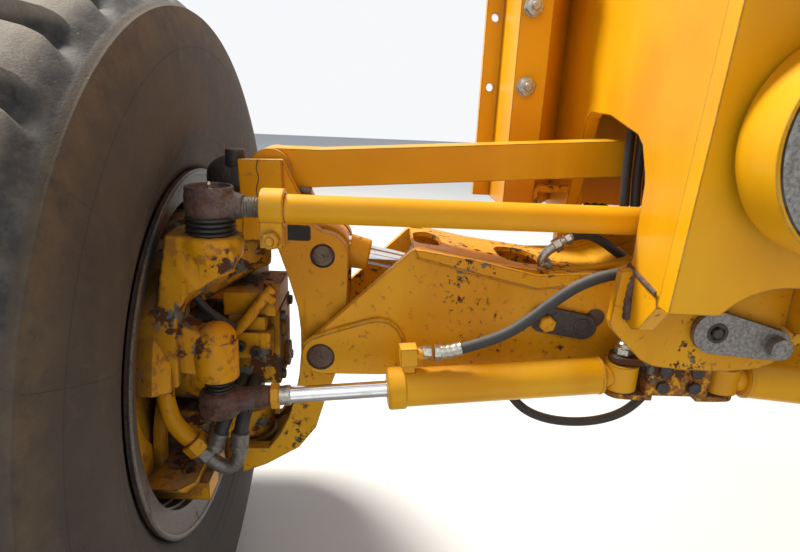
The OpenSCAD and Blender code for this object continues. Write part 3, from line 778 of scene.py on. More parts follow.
    def piece(self, name: str, finish: Finish, body: str, bevel: float = 0.0, replaces: Sequence[str] = (),
              cast: Cast | None = None) -> bpy.types.Object:
        """Makes the piece's object.

        Args:
            name: Name of the piece, without its side.
            finish: Its finish.
            body: Body that it rides on.
            bevel: Width of its rounded edges in millimetres.
            replaces: Nodes that it stands for.
            cast: How it flows together, if it is a casting.

        Returns:
            The object.
        """
        name += self.ending
        bmesh.ops.recalc_face_normals(self.mesh, faces=self.mesh.faces)
        if bevel:
            sharp = [e for e in self.mesh.edges if len(e.link_faces) == 2 and e.calc_face_angle() > 0.5]
            bmesh.ops.bevel(self.mesh, geom=sharp, offset=bevel * MM, segments=2, profile=0.6,
                            affect="EDGES", clamp_overlap=True)
        data = bpy.data.meshes.new(name)
        self.mesh.to_mesh(data)
        self.mesh.free()
        thing = bpy.data.objects.new(name, data)
        bpy.context.scene.collection.objects.link(thing)
        if cast:
            thing.data = cast_mesh(thing, cast)
        thing.data.shade_smooth()
        if not cast:
            thing.data.set_sharp_from_angle(angle=math.radians(42))
            even = thing.modifiers.new("even", "WEIGHTED_NORMAL")
            even.keep_sharp = True
        thing.data.materials.clear()
        thing.data.materials.append(material_of(finish))
        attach(thing, body)
        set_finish(thing, finish.slot.value)
        if replaces:
            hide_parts(*replaces)
        log.info("%s: %d faces", name, len(thing.data.polygons))
        return thing


def cast_mesh(thing: bpy.types.Object, cast: Cast) -> bpy.types.Mesh:
    """Flows a piece's closed shapes into one rough skin.

    Args:
        thing: Object of overlapping closed shapes.
        cast: How they flow together.

    Returns:
        The new mesh.
    """
    remesh = thing.modifiers.new("flow", "REMESH")
    remesh.mode = "VOXEL"
    remesh.voxel_size = cast.voxel * MM
    soft = thing.modifiers.new("soft", "SMOOTH")
    soft.factor = 0.5
    soft.iterations = cast.rounds
    evaluated = thing.evaluated_get(bpy.context.evaluated_depsgraph_get())
    data = bpy.data.meshes.new_from_object(evaluated)
    thing.modifiers.clear()
    size = 1 / (cast.grain * MM)
    spots = [(vertex.co.copy(), vertex.normal.copy()) for vertex in data.vertices]
    for vertex, (spot, normal) in zip(data.vertices, spots):
        height = noise.fractal(spot * size, 1.0, 2.0, 3)
        vertex.co = spot + normal * (height * cast.rough * MM)
        if cast.within:
            keep_in_rim(vertex, cast.within)
    data.name = thing.name
    return data


def keep_in_rim(vertex: bpy.types.MeshVertex, radius: float) -> None:
    """Draws a point in to a radius round the wheel axis, where the rim lies round it.

    Args:
        vertex: The point.
        radius: Radius that it keeps to beyond the rim's inner edge.
    """
    x, z = vertex.co.x - FRAME_END_X * MM, vertex.co.z + FRAME_END_Z * MM
    free = radius * MM + max(0.0, RIM_INNER_Y * MM - abs(vertex.co.y)) * 4
    reach = math.hypot(x, z)
    if reach > free:
        vertex.co.x = x * free / reach + FRAME_END_X * MM
        vertex.co.z = z * free / reach - FRAME_END_Z * MM


def disc(x: float, z: float, radius: float) -> list[Point]:
    """Gives the points of a level circle on the kingpin's plane."""
    angles = [math.tau * k / 24 for k in range(24)]
    return [(x + radius * math.cos(a), KINGPIN_Y + radius * math.sin(a), z) for a in angles]


def block(low: Point, high: Point) -> list[Point]:
    """Gives the corners of a block."""
    return [(x, y, z) for x in (low[0], high[0]) for y in (low[1], high[1]) for z in (low[2], high[2])]


def rounded(low: Flat, high: Flat, radius: float) -> list[Flat]:
    """Gives the outline of a rectangle with round corners."""
    corners = ((high[0] - radius, high[1] - radius, 0), (low[0] + radius, high[1] - radius, 90),
               (low[0] + radius, low[1] + radius, 180), (high[0] - radius, low[1] + radius, 270))
    turns = [(a, b, math.radians(start + 18 * k)) for a, b, start in corners for k in range(6)]
    return [(a + radius * math.cos(turn), b + radius * math.sin(turn)) for a, b, turn in turns]


@dataclass
class Tyre:
    """A tyre of chunky lugs in two rows round a ribbed carcass."""

    side: Side
    lugs: int = 33
    steps: int = 20
    groove_half: float = 2.7
    groove_edge: float = 1.0
    depth: float = 27.0

    # Half of the outline, as distance from the middle plane and radius: tread, shoulder and wall
    tread: Outline = (
        (0, 674), (60, 674), (100, 672.5), (128, 668), (150, 659.5), (166, 650), (178, 640.5), (185, 635))
    wall: Outline = (
        (188, 633), (192, 632), (195, 629), (200, 627.5), (204, 616), (208, 600), (213, 578), (217.5, 552),
        (220.5, 525), (221.5, 500), (220, 474), (216.5, 452), (213.5, 440), (214, 436), (211, 431),
        (207, 420), (207.5, 416), (204, 412), (200, 402), (200.5, 398), (197, 393), (193, 380), (187, 366),
        (182, 357), (174, 352), (172, 330))

    def slant(self, wide: float) -> float:
        """Gives how far, in degrees, the lugs lean round at a distance from the middle."""
        return 1.2 * (wide / 150) ** 2 + 3.0 * smooth_step(140, 205, wide)

    def tread_spots(self) -> list[Flat]:
        """Gives finely spaced points of the tread's half outline."""
        spots = []
        for (w0, r0), (w1, r1) in zip(self.tread, self.tread[1:]):
            count = max(1, round(math.hypot(w1 - w0, r1 - r0) / 7))
            spots += [(w0 + (w1 - w0) * k / count, r0 + (r1 - r0) * k / count) for k in range(count)]
        return spots + [self.tread[-1]]

    def sunk(self, step: float, wide: float, row: int) -> float:
        """Gives how deep the tread is sunk at one of its points.

        Args:
            step: Place round the tyre in steps.
            wide: Distance from the middle plane.
            row: Row of lugs, 0 or 1.

        Returns:
            Depth under the lugs' tops in millimetres.
        """
        from_groove = abs((step + row * self.steps / 2 + self.steps / 2) % self.steps - self.steps / 2)
        groove = 1 - smooth_step(self.groove_half - self.groove_edge, self.groove_half + self.groove_edge,
                                 from_groove)
        fade = 1 - smooth_step(150, 186, wide)
        wave = 15 * math.sin(math.tau * step / self.steps)
        signed = wide if row == 0 else -wide
        middle = 1 - smooth_step(5, 12, abs(signed - wave))
        lug_end = 1.5 * smooth_step(self.steps / 2 - 3.5, self.steps / 2, self.steps / 2 - from_groove + 3)
        return max(groove * self.depth * fade, middle * self.depth * 0.75) + 0.4 * lug_end * (1 - groove)

    def build(self) -> bpy.types.Object:
        """Builds the tyre in place of its node."""
        form = Form(self.side)
        spots = self.tread_spots()
        slope = [math.atan2(spots[min(i + 1, len(spots) - 1)][1] - spots[max(i - 1, 0)][1],
                            spots[min(i + 1, len(spots) - 1)][0] - spots[max(i - 1, 0)][0])
                 for i in range(len(spots))]
        round_steps = self.lugs * self.steps
        rings = []
        for step in range(round_steps):
            half_rows = []
            for row in (0, 1):
                sign = 1 - 2 * row
                half = []
                for (wide, radius), tilt in zip(spots, slope):
                    deep = self.sunk(step, wide, row)
                    angle = math.tau * step / round_steps + math.radians(self.slant(wide))
                    w, r = wide + deep * math.sin(tilt), radius - deep * math.cos(tilt)
                    half.append((r * math.cos(angle), TYRE_Y - sign * w, r * math.sin(angle)))
                angle = math.tau * step / round_steps + math.radians(self.slant(self.tread[-1][0]))
                for wide, radius in self.wall:
                    half.append((radius * math.cos(angle), TYRE_Y - sign * wide, radius * math.sin(angle)))
                half_rows.append(half)
            ring = half_rows[1][:0:-1] + half_rows[0]
            rings.append(ring)
        form.rings(rings, closed=True)
        return form.piece("tyre_skin", TYRES[self.side], f"wheel_{self.side.word}",
                          replaces=[f"tyre_{self.side.word}"])


@dataclass
class TrackRod:
    """The rod between the knuckles: forged sockets, threads, clamps and a painted tube."""

    radius: float = 22.0
    socket_radius: float = 37.5
    clamp_from: float = 676.0
    clamp_to: float = 712.0

    def build(self) -> None:
        """Builds the rod's pieces."""
        z = TRACK_ROD_Z
        tube = Form()
        r = self.radius
        tube.turned((-ARM, -690, z), OUTWARD, [(r - 1, 0), (r, 1), (r, 1379), (r - 1, 1380)])
        for sign in (1, -1):
            tube.side = Side(sign)
            self.clamp(tube)
        tube.side = Side.LEFT
        tube.piece("track_rod_tube", LINK_PAINT, "track_rod", 1.2, ["track_rod"])
        for side in Side:
            self.socket(side)

    def clamp(self, form: Form) -> None:
        """Adds a split clamp with its ears.

        Args:
            form: Where its shape is added.
        """
        z = TRACK_ROD_Z
        form.turned((-ARM, self.clamp_from, z), OUTWARD,
                    [(22.5, 0), (29, 0), (30, 1.5), (30, 33), (29, 36), (22.5, 36)])
        for x in (-ARM - 24, -ARM + 6):
            form.box((x, self.clamp_from + 1, z - 58), (x + 18, self.clamp_to - 1, z - 18))

    def socket(self, side: Side) -> None:
        """Builds a forged socket with its neck and threads, its bolt and its nipple.

        Args:
            side: Side of the axle.
        """
        z = TRACK_ROD_Z
        r = self.socket_radius
        iron = Form(side)
        iron.turned((-ARM, KINGPIN_Y, z), UP,
                    [(0, -16), (r - 6, -17), (r - 1, -13), (r, -6), (r, 17), (r - 1.5, 22), (r - 1, 26),
                     (r - 2, 31),
                     (r - 5, 32), (r - 6, 30), (r - 6, 24), (r - 8, 22.5), (0, 22.5)], 48)
        neck = [(775, 24, 27), (764, 23.5, 25), (756, 22, 23), (749, 20.5, 21), (743, 19, 19), (738, 18, 18)]
        rings = []
        for y, high, deep in neck:
            rings.append([(-ARM + deep * math.cos(a), y, z + 1 + high * math.sin(a))
                          for a in (math.tau * k / 32 for k in range(32))])
        iron.rings(rings)
        thread = [(14.6 if k % 2 else 16.4, 2.2 * k) for k in range(13)]
        iron.piece("track_rod_socket", ROD_IRON, "track_rod", cast=Cast(2.2, 2, 0.35, 9.0))
        threads = Form(side)
        threads.turned((-ARM, 739, z), INWARD, [(0, 0), *thread, (0, 26.4)], 32)
        threads.piece("track_rod_threads", FITTING, "track_rod")
        bolt = Form(side)
        bolt.bolt((-ARM - 24, self.clamp_from + 18, z - 44), REAR, 27, 11, 15, 5)
        bolt.bolt((-ARM + 24, self.clamp_from + 18, z - 44), AHEAD, 27, 9, 15)
        bolt.turned((-ARM - 10, self.clamp_from + 18, z - 44), AHEAD, [(0, 0), (7, 0), (7, 20), (0, 20)], 16)
        bolt.piece("track_rod_bolt", LINK_PAINT, "track_rod", 0.6)
        nipple = Form(side)
        nipple.turned((-ARM, KINGPIN_Y, z + 22), UP,
                      [(0, 0), (5, 0), (5, 4), (2.6, 5), (2.6, 9), (3.6, 10), (3.6, 12), (1.6, 15), (0, 15)],
                      12)
        nipple.piece("track_rod_nipple", ZINC, "track_rod")


@dataclass
class Boot:
    """A ringed rubber boot round a ball joint on the knuckle's arm."""

    name: str
    body: str
    side: Side
    low: float
    high: float
    low_radius: float
    high_radius: float
    rings: int = 2
    replaces: tuple[str, ...] = ()

    def build(self) -> bpy.types.Object:
        """Builds the boot."""
        form = Form(self.side)
        steps = self.rings * 8
        profile = [(self.low_radius * 0.55, 0.0)]
        for k in range(steps + 1):
            t = k / steps
            swell = abs(math.sin(math.pi * self.rings * t)) ** 0.6
            radius = self.low_radius + (self.high_radius - self.low_radius) * t
            profile.append((radius - 5.0 + 5.0 * swell, (self.high - self.low) * t))
        profile.append((self.high_radius * 0.55, self.high - self.low))
        form.turned((-ARM, KINGPIN_Y, self.low), UP, profile, 48)
        return form.piece(self.name, BOOT, self.body, replaces=self.replaces)


@dataclass
class SteeringRod:
    """The chromed rod of a steering cylinder with its collar, nut and forged eye."""

    side: Side
    radius: float = 14.0
    starts_at: float = 215.0
    ends_before: float = 108.0
    collar: Outline = ((14.1, 0), (16.5, 0.5), (17.5, 2), (17.5, 9), (16.6, 10), (16.6, 19), (14.1, 20))
    eye: Outline = ((0, 0), (28, 0), (33, 3), (34.5, 10), (34.5, 34), (33, 42), (27, 47), (0, 47))
    nipple: Outline = ((0, 0), (5, 0), (5, 5), (3, 6), (3, 10), (1.5, 13), (0, 13))

    # Sections of the forging: distance before the eye, half width, half height and drop
    neck: tuple[tuple[float, ...], ...] = (
        (84, 18, 18, 0), (72, 20, 19.5, 0), (58, 20, 18, 0), (40, 24, 19, 2), (22, 30, 21, 2), (8, 31, 21, 2))

    def build(self) -> None:
        """Builds the rod's pieces."""
        base, eye = Vector(STEER_BASE), Vector(STEER_EYE)
        line = (eye - base).normalized()
        length = (eye - base).length
        body = f"steer_rod_{self.side.word}"

        def on(distance: float) -> tuple[float, ...]:
            """Gives a point on the rod's line, by its distance before the eye."""
            return tuple(base + line * (length - distance))

        rod = Form(self.side)
        shown = length - self.starts_at - self.ends_before
        rod.turned(on(length - self.starts_at), tuple(line), [(0, 0), (self.radius, 0), (self.radius, shown),
                                                              (0, shown)])
        rod.piece("steering_rod_chrome", CHROME, body, replaces=[body])
        collar = Form(self.side)
        collar.turned(on(118), tuple(line), self.collar)
        collar.piece("steering_rod_collar", ZINC, body)
        nut = Form(self.side)
        nut.hexagon(on(99), tuple(line), 44, 15)
        nut.piece("steering_rod_nut", LINK_PAINT, body, 0.8)
        iron = Form(self.side)
        iron.turned((*STEER_EYE[:2], -26), UP, self.eye, 48)
        up = line.cross(Vector(AHEAD)).normalized()
        turns = [math.tau * k / 36 for k in range(36)]
        iron.rings([[Vector(on(distance)) - Vector((0, 0, drop)) + Vector(AHEAD) * (wide * math.cos(a))
                     + up * (high * math.sin(a)) for a in turns] for distance, wide, high, drop in self.neck])
        iron.piece("steering_rod_eye", ROD_IRON, body, cast=Cast(2.6, 3, 0.45, 9.0))
        nipple = Form(self.side)
        nipple.turned(tuple(Vector(on(50)) - Vector((0, 0, 18))), (0, 0.25, -1), self.nipple, 12)
        nipple.piece("steering_rod_nipple", DARK_IRON, body)


@dataclass(frozen=True)
class HoseLine:
    """A hose that hangs between two places of the object, with its crimped ends."""

    name: str
    side: Side
    node: str
    route: tuple[Point, ...]
    length: float
    diameter: float = 0.019
    crimps: bool = True

    def build(self) -> None:
        path = [(Vector(p) + Vector((FRAME_END_X * MM, 0,
                                     -FRAME_END_Z * MM))) for p in curve_through(self.route, 8)]
        path = [Vector((p.x, p.y * self.side.value, p.z)) for p in path]
        local = curve_through([tuple(c / MM for c in p) for p in self.route], 8)
        form = Form()
        form.side = self.side
        form.tube(local, self.diameter / MM / 2, 20)
        hose = form.piece(self.name, HOSE, "axle", replaces=[self.node])
        if self.crimps:
            for end, word in ((local, "start"), (local[::-1], "end")):
                self.crimp(end, word)

    def crimp(self, path: Sequence[Vector], word: str) -> bpy.types.Object:
        """Builds the crimped sleeve on one end of the hose.

        Args:
            path: The hose's line from that end.
            word: Word for the end in the piece's name.

        Returns:
            The sleeve.
        """
        reach, spots = 0.0, [path[0]]
        for a, b in zip(path, path[1:]):
            reach += (b - a).length
            spots.append(b)
            if reach > 44:
                break
        radii = [12.4 if k % 3 else 11.6 for k in range(len(spots))]
        form = Form()
        form.side = self.side
        form.tube(spots, radii, 20)
        return form.piece(f"{self.name}_crimp_{word}", ZINC, "axle")


STEER_ROUTE = (
    (-0.188, 0.430, 0.088), (-0.188, 0.405, 0.092), (-0.187, 0.374, 0.101), (-0.186, 0.340, 0.113),
    (-0.185, 0.305, 0.130), (-0.185, 0.272, 0.155), (-0.186, 0.240, 0.184), (-0.189, 0.205, 0.213),
    (-0.194, 0.168, 0.233), (-0.199, 0.130, 0.243), (-0.201, 0.092, 0.246), (-0.201, 0.049, 0.245))
LOOP_ROUTE = (
    (0.0, 0.262, -0.0182), (0.0, 0.261, -0.045), (0.0, 0.246, -0.086), (0.0, 0.212, -0.122),
    (0.0, 0.164, -0.143), (0.0, 0.105, -0.150), (0.0, 0.046, -0.143), (0.0, -0.002, -0.122),
    (0.0, -0.036, -0.086), (0.0, -0.051, -0.045), (0.0, -0.052, -0.0182))


@dataclass
class Knuckle:
    """The casting that carries a wheel, with its motor, its pipes and its lower strip."""

    side: Side
    keep_radius: float = 293.0
    motor_face: float = 714.0

    # Turned parts as radius and height, and plates drawn out along X as Y and Z
    pad: Outline = ((0, 222), (30, 224), (38, 240), (45, 260), (49, 274), (49, 282), (45, 287.5), (0, 288))
    boss: Outline = (
        (0, 44), (30, 44), (31, 52), (33.5, 58), (35, 66), (35, 92), (33, 108), (28, 122), (20, 133),
        (10, 140), (0, 142))
    pin_boss: Outline = ((0, 181), (47, 181), (51.5, 186), (51.5, 236), (49, 240), (0, 240))
    foot_boss: Outline = ((0, -174), (49, -174), (51.5, -170), (51.5, -120), (47, -115), (0, -115))
    pad_plate: Outline = (
        (750, 244), (748, 262), (752, 277), (762, 286), (817, 289), (846, 291), (868, 281), (888, 262),
        (893, 246), (893, 200), (806, 204), (776, 226))
    wall: Outline = (
        (893, 236), (903, 219), (908, 150), (911, 90), (909, 44), (895, 38), (848, 38), (843, 44), (842, 87),
        (843, 126), (838, 165), (824, 193), (806, 212), (830, 246))
    strip: Outline = (
        (917, -18), (930, -60), (938, -110), (941, -160), (944, -205), (953, -243), (944, -262), (930, -240),
        (928, -205), (927, -160), (924, -110), (916, -62), (903, -22))
    socket_bolt: Outline = ((0, 0), (9.5, 0), (10, 1), (10, 8.5), (9, 9.5), (5.2, 9.5), (4.6, 4), (0, 4))
    sleeve: Outline = ((0, 0), (18, 0), (18, 8), (16.2, 10), (17.2, 34), (15, 36), (0, 36))

    # Routes of the pipes and hoses
    motor_pipe: Route = ((-82, 720, 158), (-90, 736, 142), (-100, 766, 102), (-99, 790, 76), (-92, 800, 62))
    motor_hose: Route = (
        (-140, 862, 196), (-152, 842, 170), (-152, 820, 140), (-130, 800, 112), (-100, 786, 86))
    pipe: Route = (
        (-140, 944, 8), (-142, 924, 7), (-147, 906, -6), (-151, 903, -34), (-152, 894, -74),
        (-151, 875, -104), (-150, 858, -121))
    elbow: Route = (
        (-150, 846, -136), (-150, 828, -158), (-150, 806, -172), (-149, 788, -168), (-148, 779, -150),
        (-147, 778, -130))
    hoses: tuple[Route, ...] = (
        ((-145, 775, -106), (-138, 771, -80), (-116, 767, -62), (-90, 764, -48), (-56, 762, -38)),
        ((-149, 811, -102), (-144, 804, -82), (-124, 797, -62), (-98, 790, -48), (-56, 786, -36)))

    @property
    def body(self) -> str:
        """The body that the pieces ride on."""
        return f"knuckle_{self.side.word}"

    def build(self) -> None:
        """Builds the knuckle's pieces."""
        self.casting()
        self.motor()
        self.pipes()
        strip = Form(self.side)
        strip.prism(Axis.X, self.strip, -138, -96)
        strip.piece("knuckle_strip", ARM_PAINT, self.body, 2.5)

    def casting(self) -> None:
        """Builds the arms, bosses and wall that flow into one casting."""
        form = Form(self.side)
        pin = (0, KINGPIN_Y, 0)
        form.turned((-ARM, KINGPIN_Y, 0), UP, self.pad)
        form.hull(disc(-ARM, 236, 37) + disc(-ARM, 280, 40) + block((-162, 860, 146), (-84, 891, 240)))
        form.prism(Axis.X, self.pad_plate, -244, -166)
        form.prism(Axis.X, self.wall, -246, -176)
        form.turned((-ARM - 4, KINGPIN_Y + 4, 0), UP, self.boss)
        form.hull(disc(-ARM + 8, 56, 20) + disc(-ARM + 8, 106, 20) + block((-226, 858, 56), (-176, 893, 138)))
        form.turned(pin, UP, self.pin_boss)
        form.hull(disc(0, 186, 50) + disc(0, 237, 49) + block((-92, 868, 118), (92, 903, 232)))
        form.turned(pin, UP, self.foot_boss)
        form.hull(disc(0, -171, 49) + disc(0, -121, 50) + block((-82, 900, -174), (82, 950, -99)))
        form.piece("knuckle_casting", CAST_PAINT, self.body, cast=Cast(3.5, 3, 0.9, 16.0, self.keep_radius))

    def motor(self) -> None:
        """Builds the hub motor's blocks, bolts, pipe and small hose."""
        blocks = Form(self.side)
        blocks.box((-100, 724, 26), (-58, 790, 78))
        blocks.box((-92, 734, 76), (-58, 802, 106))
        blocks.box((-84, 716, 104), (58, 812, 150))
        blocks.piece("hub_motor_blocks", CAST_PAINT, self.body, 2.5)
        bolts = Form(self.side)
        for y, z in ((779, 52), (751, 42)):
            bolts.turned((-100, y, z), REAR, self.socket_bolt, 20)
        for x, z in ((-46, -30), (46, -30), (-46, 92), (46, 92)):
            bolts.bolt((x, self.motor_face, z), INWARD, 20, 8)
        bolts.piece("hub_motor_bolts", DARK_IRON, self.body)
        pipe = Form(self.side)
        pipe.bent(self.motor_pipe, 10, 16)
        pipe.hexagon((-84, 724, 148), (-0.2, 0.5, -0.6), 30, 15)
        pipe.hexagon((-60, 728, 148), (0, -0.2, 1), 34, 18)
        pipe.piece("hub_motor_pipe", CAST_PAINT, self.body, 0.6)
        hose = Form(self.side)
        hose.bent(self.motor_hose, 7, 12, 8)
        hose.piece("hub_motor_hose", HOSE, self.body)

    def pipes(self) -> None:
        """Builds the pipe out of the casting, its elbow and the two hoses to the motor."""
        pipe = Form(self.side)
        pipe.bent(self.pipe, 16, 20)
        pipe.hexagon((-150, 862, -117), (0, -45, -53), 50, 26)
        pipe.piece("motor_pipe", ARM_PAINT, self.body, 1.0, [f"motor_pipes_{self.side.word}"])
        elbow = Form(self.side)
        elbow.hexagon((-150, 846, -136), (0, -45, -53), 44, 20)
        elbow.bent(self.elbow, 13.5, 18)
        elbow.turned((-147, 778, -136), (0.06, -0.1, 1), self.sleeve, 24)
        elbow.turned((-151, 822, -132), (0.08, -0.35, 1), self.sleeve, 24)
        elbow.piece("motor_elbow", FITTING, self.body, 0.8)
        hoses = Form(self.side)
        for route in self.hoses:
            hoses.bent(route, 13, 18, 8)
        hoses.piece("motor_hoses", HOSE, self.body)


@dataclass
class Yoke:
    """What shows on a yoke: its head plate, dome, a black plate of painted shade in its slot, and pin ends.
    """

    side: Side
    plate: float = 8.0
    head: Outline = ((699, 304), (772, 304), (776, 388), (702, 390))
    crack: Outline = ((741, 389), (744, 374), (740, 357), (745, 338), (742, 320), (746, 305))
    dome_profile: Outline = (
        (60, 322.2), (61, 326), (61, 352), (59, 362), (53, 371), (43, 379), (30, 385), (14, 389), (3, 390))
    stub: Outline = ((0, 0), (16, 0), (17, 2), (17, 26), (15.5, 29), (0, 29))

    def build(self) -> None:
        """Builds the yoke's pieces."""
        body = f"yoke_{self.side.word}"
        head = Form(self.side)
        head.prism(Axis.X, self.head, -YOKE_X - self.plate, -YOKE_X)
        head.piece("yoke_head_plate", PAINT, body, 2.5)
        crack = Form(self.side)
        crack.tube([(-YOKE_X - self.plate, y, z) for y, z in self.crack], 0.9, 6)
        crack.piece("yoke_head_crack", BLACK_PAINT, body)
        # Painted shade: a thin black plate stands in for the shade inside the slot in the rear plate.
        recess_shade = Form(self.side)
        recess_shade.prism(Axis.X, rounded((653, 248), (698, 276), 5), -YOKE_X - 0.5, -YOKE_X + 1)
        recess_shade.piece("yoke_recess", BLACK_PAINT, body)
        pins = Form(self.side)
        pins.pin_end((-YOKE_X, LEAN_Y, LEAN_EYE_Z), 18.8)
        pins.piece("yoke_pin_end", PIN_STEEL, body)
        ring = Form(self.side)
        ring.hoop((-YOKE_X, LEAN_Y, LEAN_EYE_Z), REAR, [(19.2, 0), (22.5, 0), (22.2, 0.8), (19.5, 0.8)])
        ring.piece("yoke_pin_ring", BLACK_PAINT, body)
        dome = Form(self.side)
        angles = [math.radians(3 + 7.25 * k) for k in range(25)]
        dome.rings([[(r * math.cos(a), KINGPIN_Y + r * math.sin(a), z) for a in angles]
                    for r, z in self.dome_profile])
        dome.turned((-40, KINGPIN_Y, 372), UP, self.stub, 28)
        dome.piece("kingpin_dome", DARK_IRON, body, 1.5, [f"kingpin_cap_{self.side.word}"])


@dataclass
class Beam:
    """Plates, welds and fittings of the axle beam."""

    doubler: float = 8.0
    rail: float = 14.0
    retainer_plate: float = 10.0

    # Plates and welds on the rear face as Y and Z
    doubler_plate: Outline = (
        (666, 24), (667, 44), (661, 60), (648, 71), (620, 82), (585, 94), (550, 105), (528, 110), (508, 106),
        (494, 94), (484, 76), (480, 58), (479, 7), (525, 4), (632, 3), (650, 8))
    rail_plate: Outline = (
        (467, 246), (459, 247), (351, 230), (250, 208), (120, 216), (122, 200), (248, 184), (351, 207),
        (462, 234))
    welds: tuple[Outline, ...] = (
        ((664, 58), (649, 72), (620, 84), (585, 96), (550, 107), (528, 112), (507, 108), (492, 95), (482, 77),
         (478, 58), (477, 8)),
        ((462, 232), (351, 205), (248, 182), (122, 198)))
    retainer_ends: tuple[tuple[float, ...], ...] = ((228, 124, 25, 100), (152, 111, 24, -80))
    elbow: Route = ((-60, 214, 200), (-60, 230, 219), (-60, 222, 238), (-60, 198, 256), (-60, 178, 270))
    hose: Route = (
        (-60, 182, 268), (-56, 154, 272), (-52, 124, 262), (-48, 94, 244), (-46, 66, 225), (-46, 50, 206))
    pipe: Route = ((-70, 204, 200), (-76, 180, 210), (-78, 140, 216), (-80, 97, 224), (-80, 56, 226))

    def build(self) -> None:
        """Builds the beam's pieces."""
        for side in Side:
            self.end(side)
        self.retainer()
        self.fittings()

    def end(self, side: Side) -> None:
        """Builds the plate round a lean pin, the pin's end, the rail and the welds of one half.

        Args:
            side: Side of the axle.
        """
        plate = Form(side)
        plate.prism(Axis.X, self.doubler_plate, -BEAM_X - self.doubler, -BEAM_X)
        plate.prism(Axis.X, self.rail_plate, -BEAM_X - self.rail, -BEAM_X)
        plate.piece("beam_doubler", PAINT, "axle", 2.0)
        weld = Form(side)
        for seam in self.welds:
            weld.bead([(-BEAM_X - 3, y, z) for y, z in seam], 4.0)
        weld.piece("beam_welds", WELD_PAINT, "axle")
        pin = Form(side)
        pin.pin_end((-BEAM_X - self.doubler, LEAN_Y, LEAN_PIN_Z), 21.5)
        pin.piece("lean_pin_end", PIN_STEEL, "axle")
        ring = Form(side)
        ring.hoop((-BEAM_X - self.doubler, LEAN_Y, LEAN_PIN_Z), REAR,
                  [(22, 0), (26, 0), (25.5, 0.9), (22.4, 0.9)])
        ring.piece("lean_pin_ring", BLACK_PAINT, "axle")

    def retainer(self) -> None:
        """Builds the plate that holds the lean cylinder's pin, with its bolt."""
        form = Form()
        face = -BEAM_X - self.retainer_plate
        outline = []
        for y, z, r, start in self.retainer_ends:
            turns = [math.radians(start - 18 * k) for k in range(11)]
            outline += [(y + r * math.cos(a), z + r * math.sin(a)) for a in turns]
        form.prism(Axis.X, outline, face, -BEAM_X)
        form.hoop((face, 156, 112), REAR, [(10, -1), (16, -1), (15.5, 2.2), (10.5, 2.2)])
        form.piece("beam_retainer_plate", DARK_IRON, "axle", 2.0, ["beam_retainer"])
        bolt = Form()
        bolt.bolt((face, 222, 118), REAR, 32, 12)
        bolt.piece("beam_retainer_bolt", ARM_PAINT, "axle", 0.8)

    def fittings(self) -> None:
        """Builds the elbow, the pipe and the hose on top of the beam."""
        elbow = Form()
        elbow.bent(self.elbow, 8.5, 16, 4)
        elbow.hexagon((-60, 218, 210), (0, 0.6, 0.8), 27, 12)
        elbow.hexagon((-60, 210, 248), (0, -0.85, 0.55), 27, 15)
        elbow.hexagon((-60, 190, 261), (0, -0.85, 0.55), 24, 12)
        elbow.piece("beam_elbow", ZINC, "axle", 0.6)
        hose = Form()
        hose.bent(self.hose, 8.5, 16)
        hose.piece("beam_hose", HOSE, "axle")
        pipe = Form()
        pipe.bent(self.pipe, 6.5, 14)
        pipe.piece("beam_pipe", LINK_PAINT, "axle")


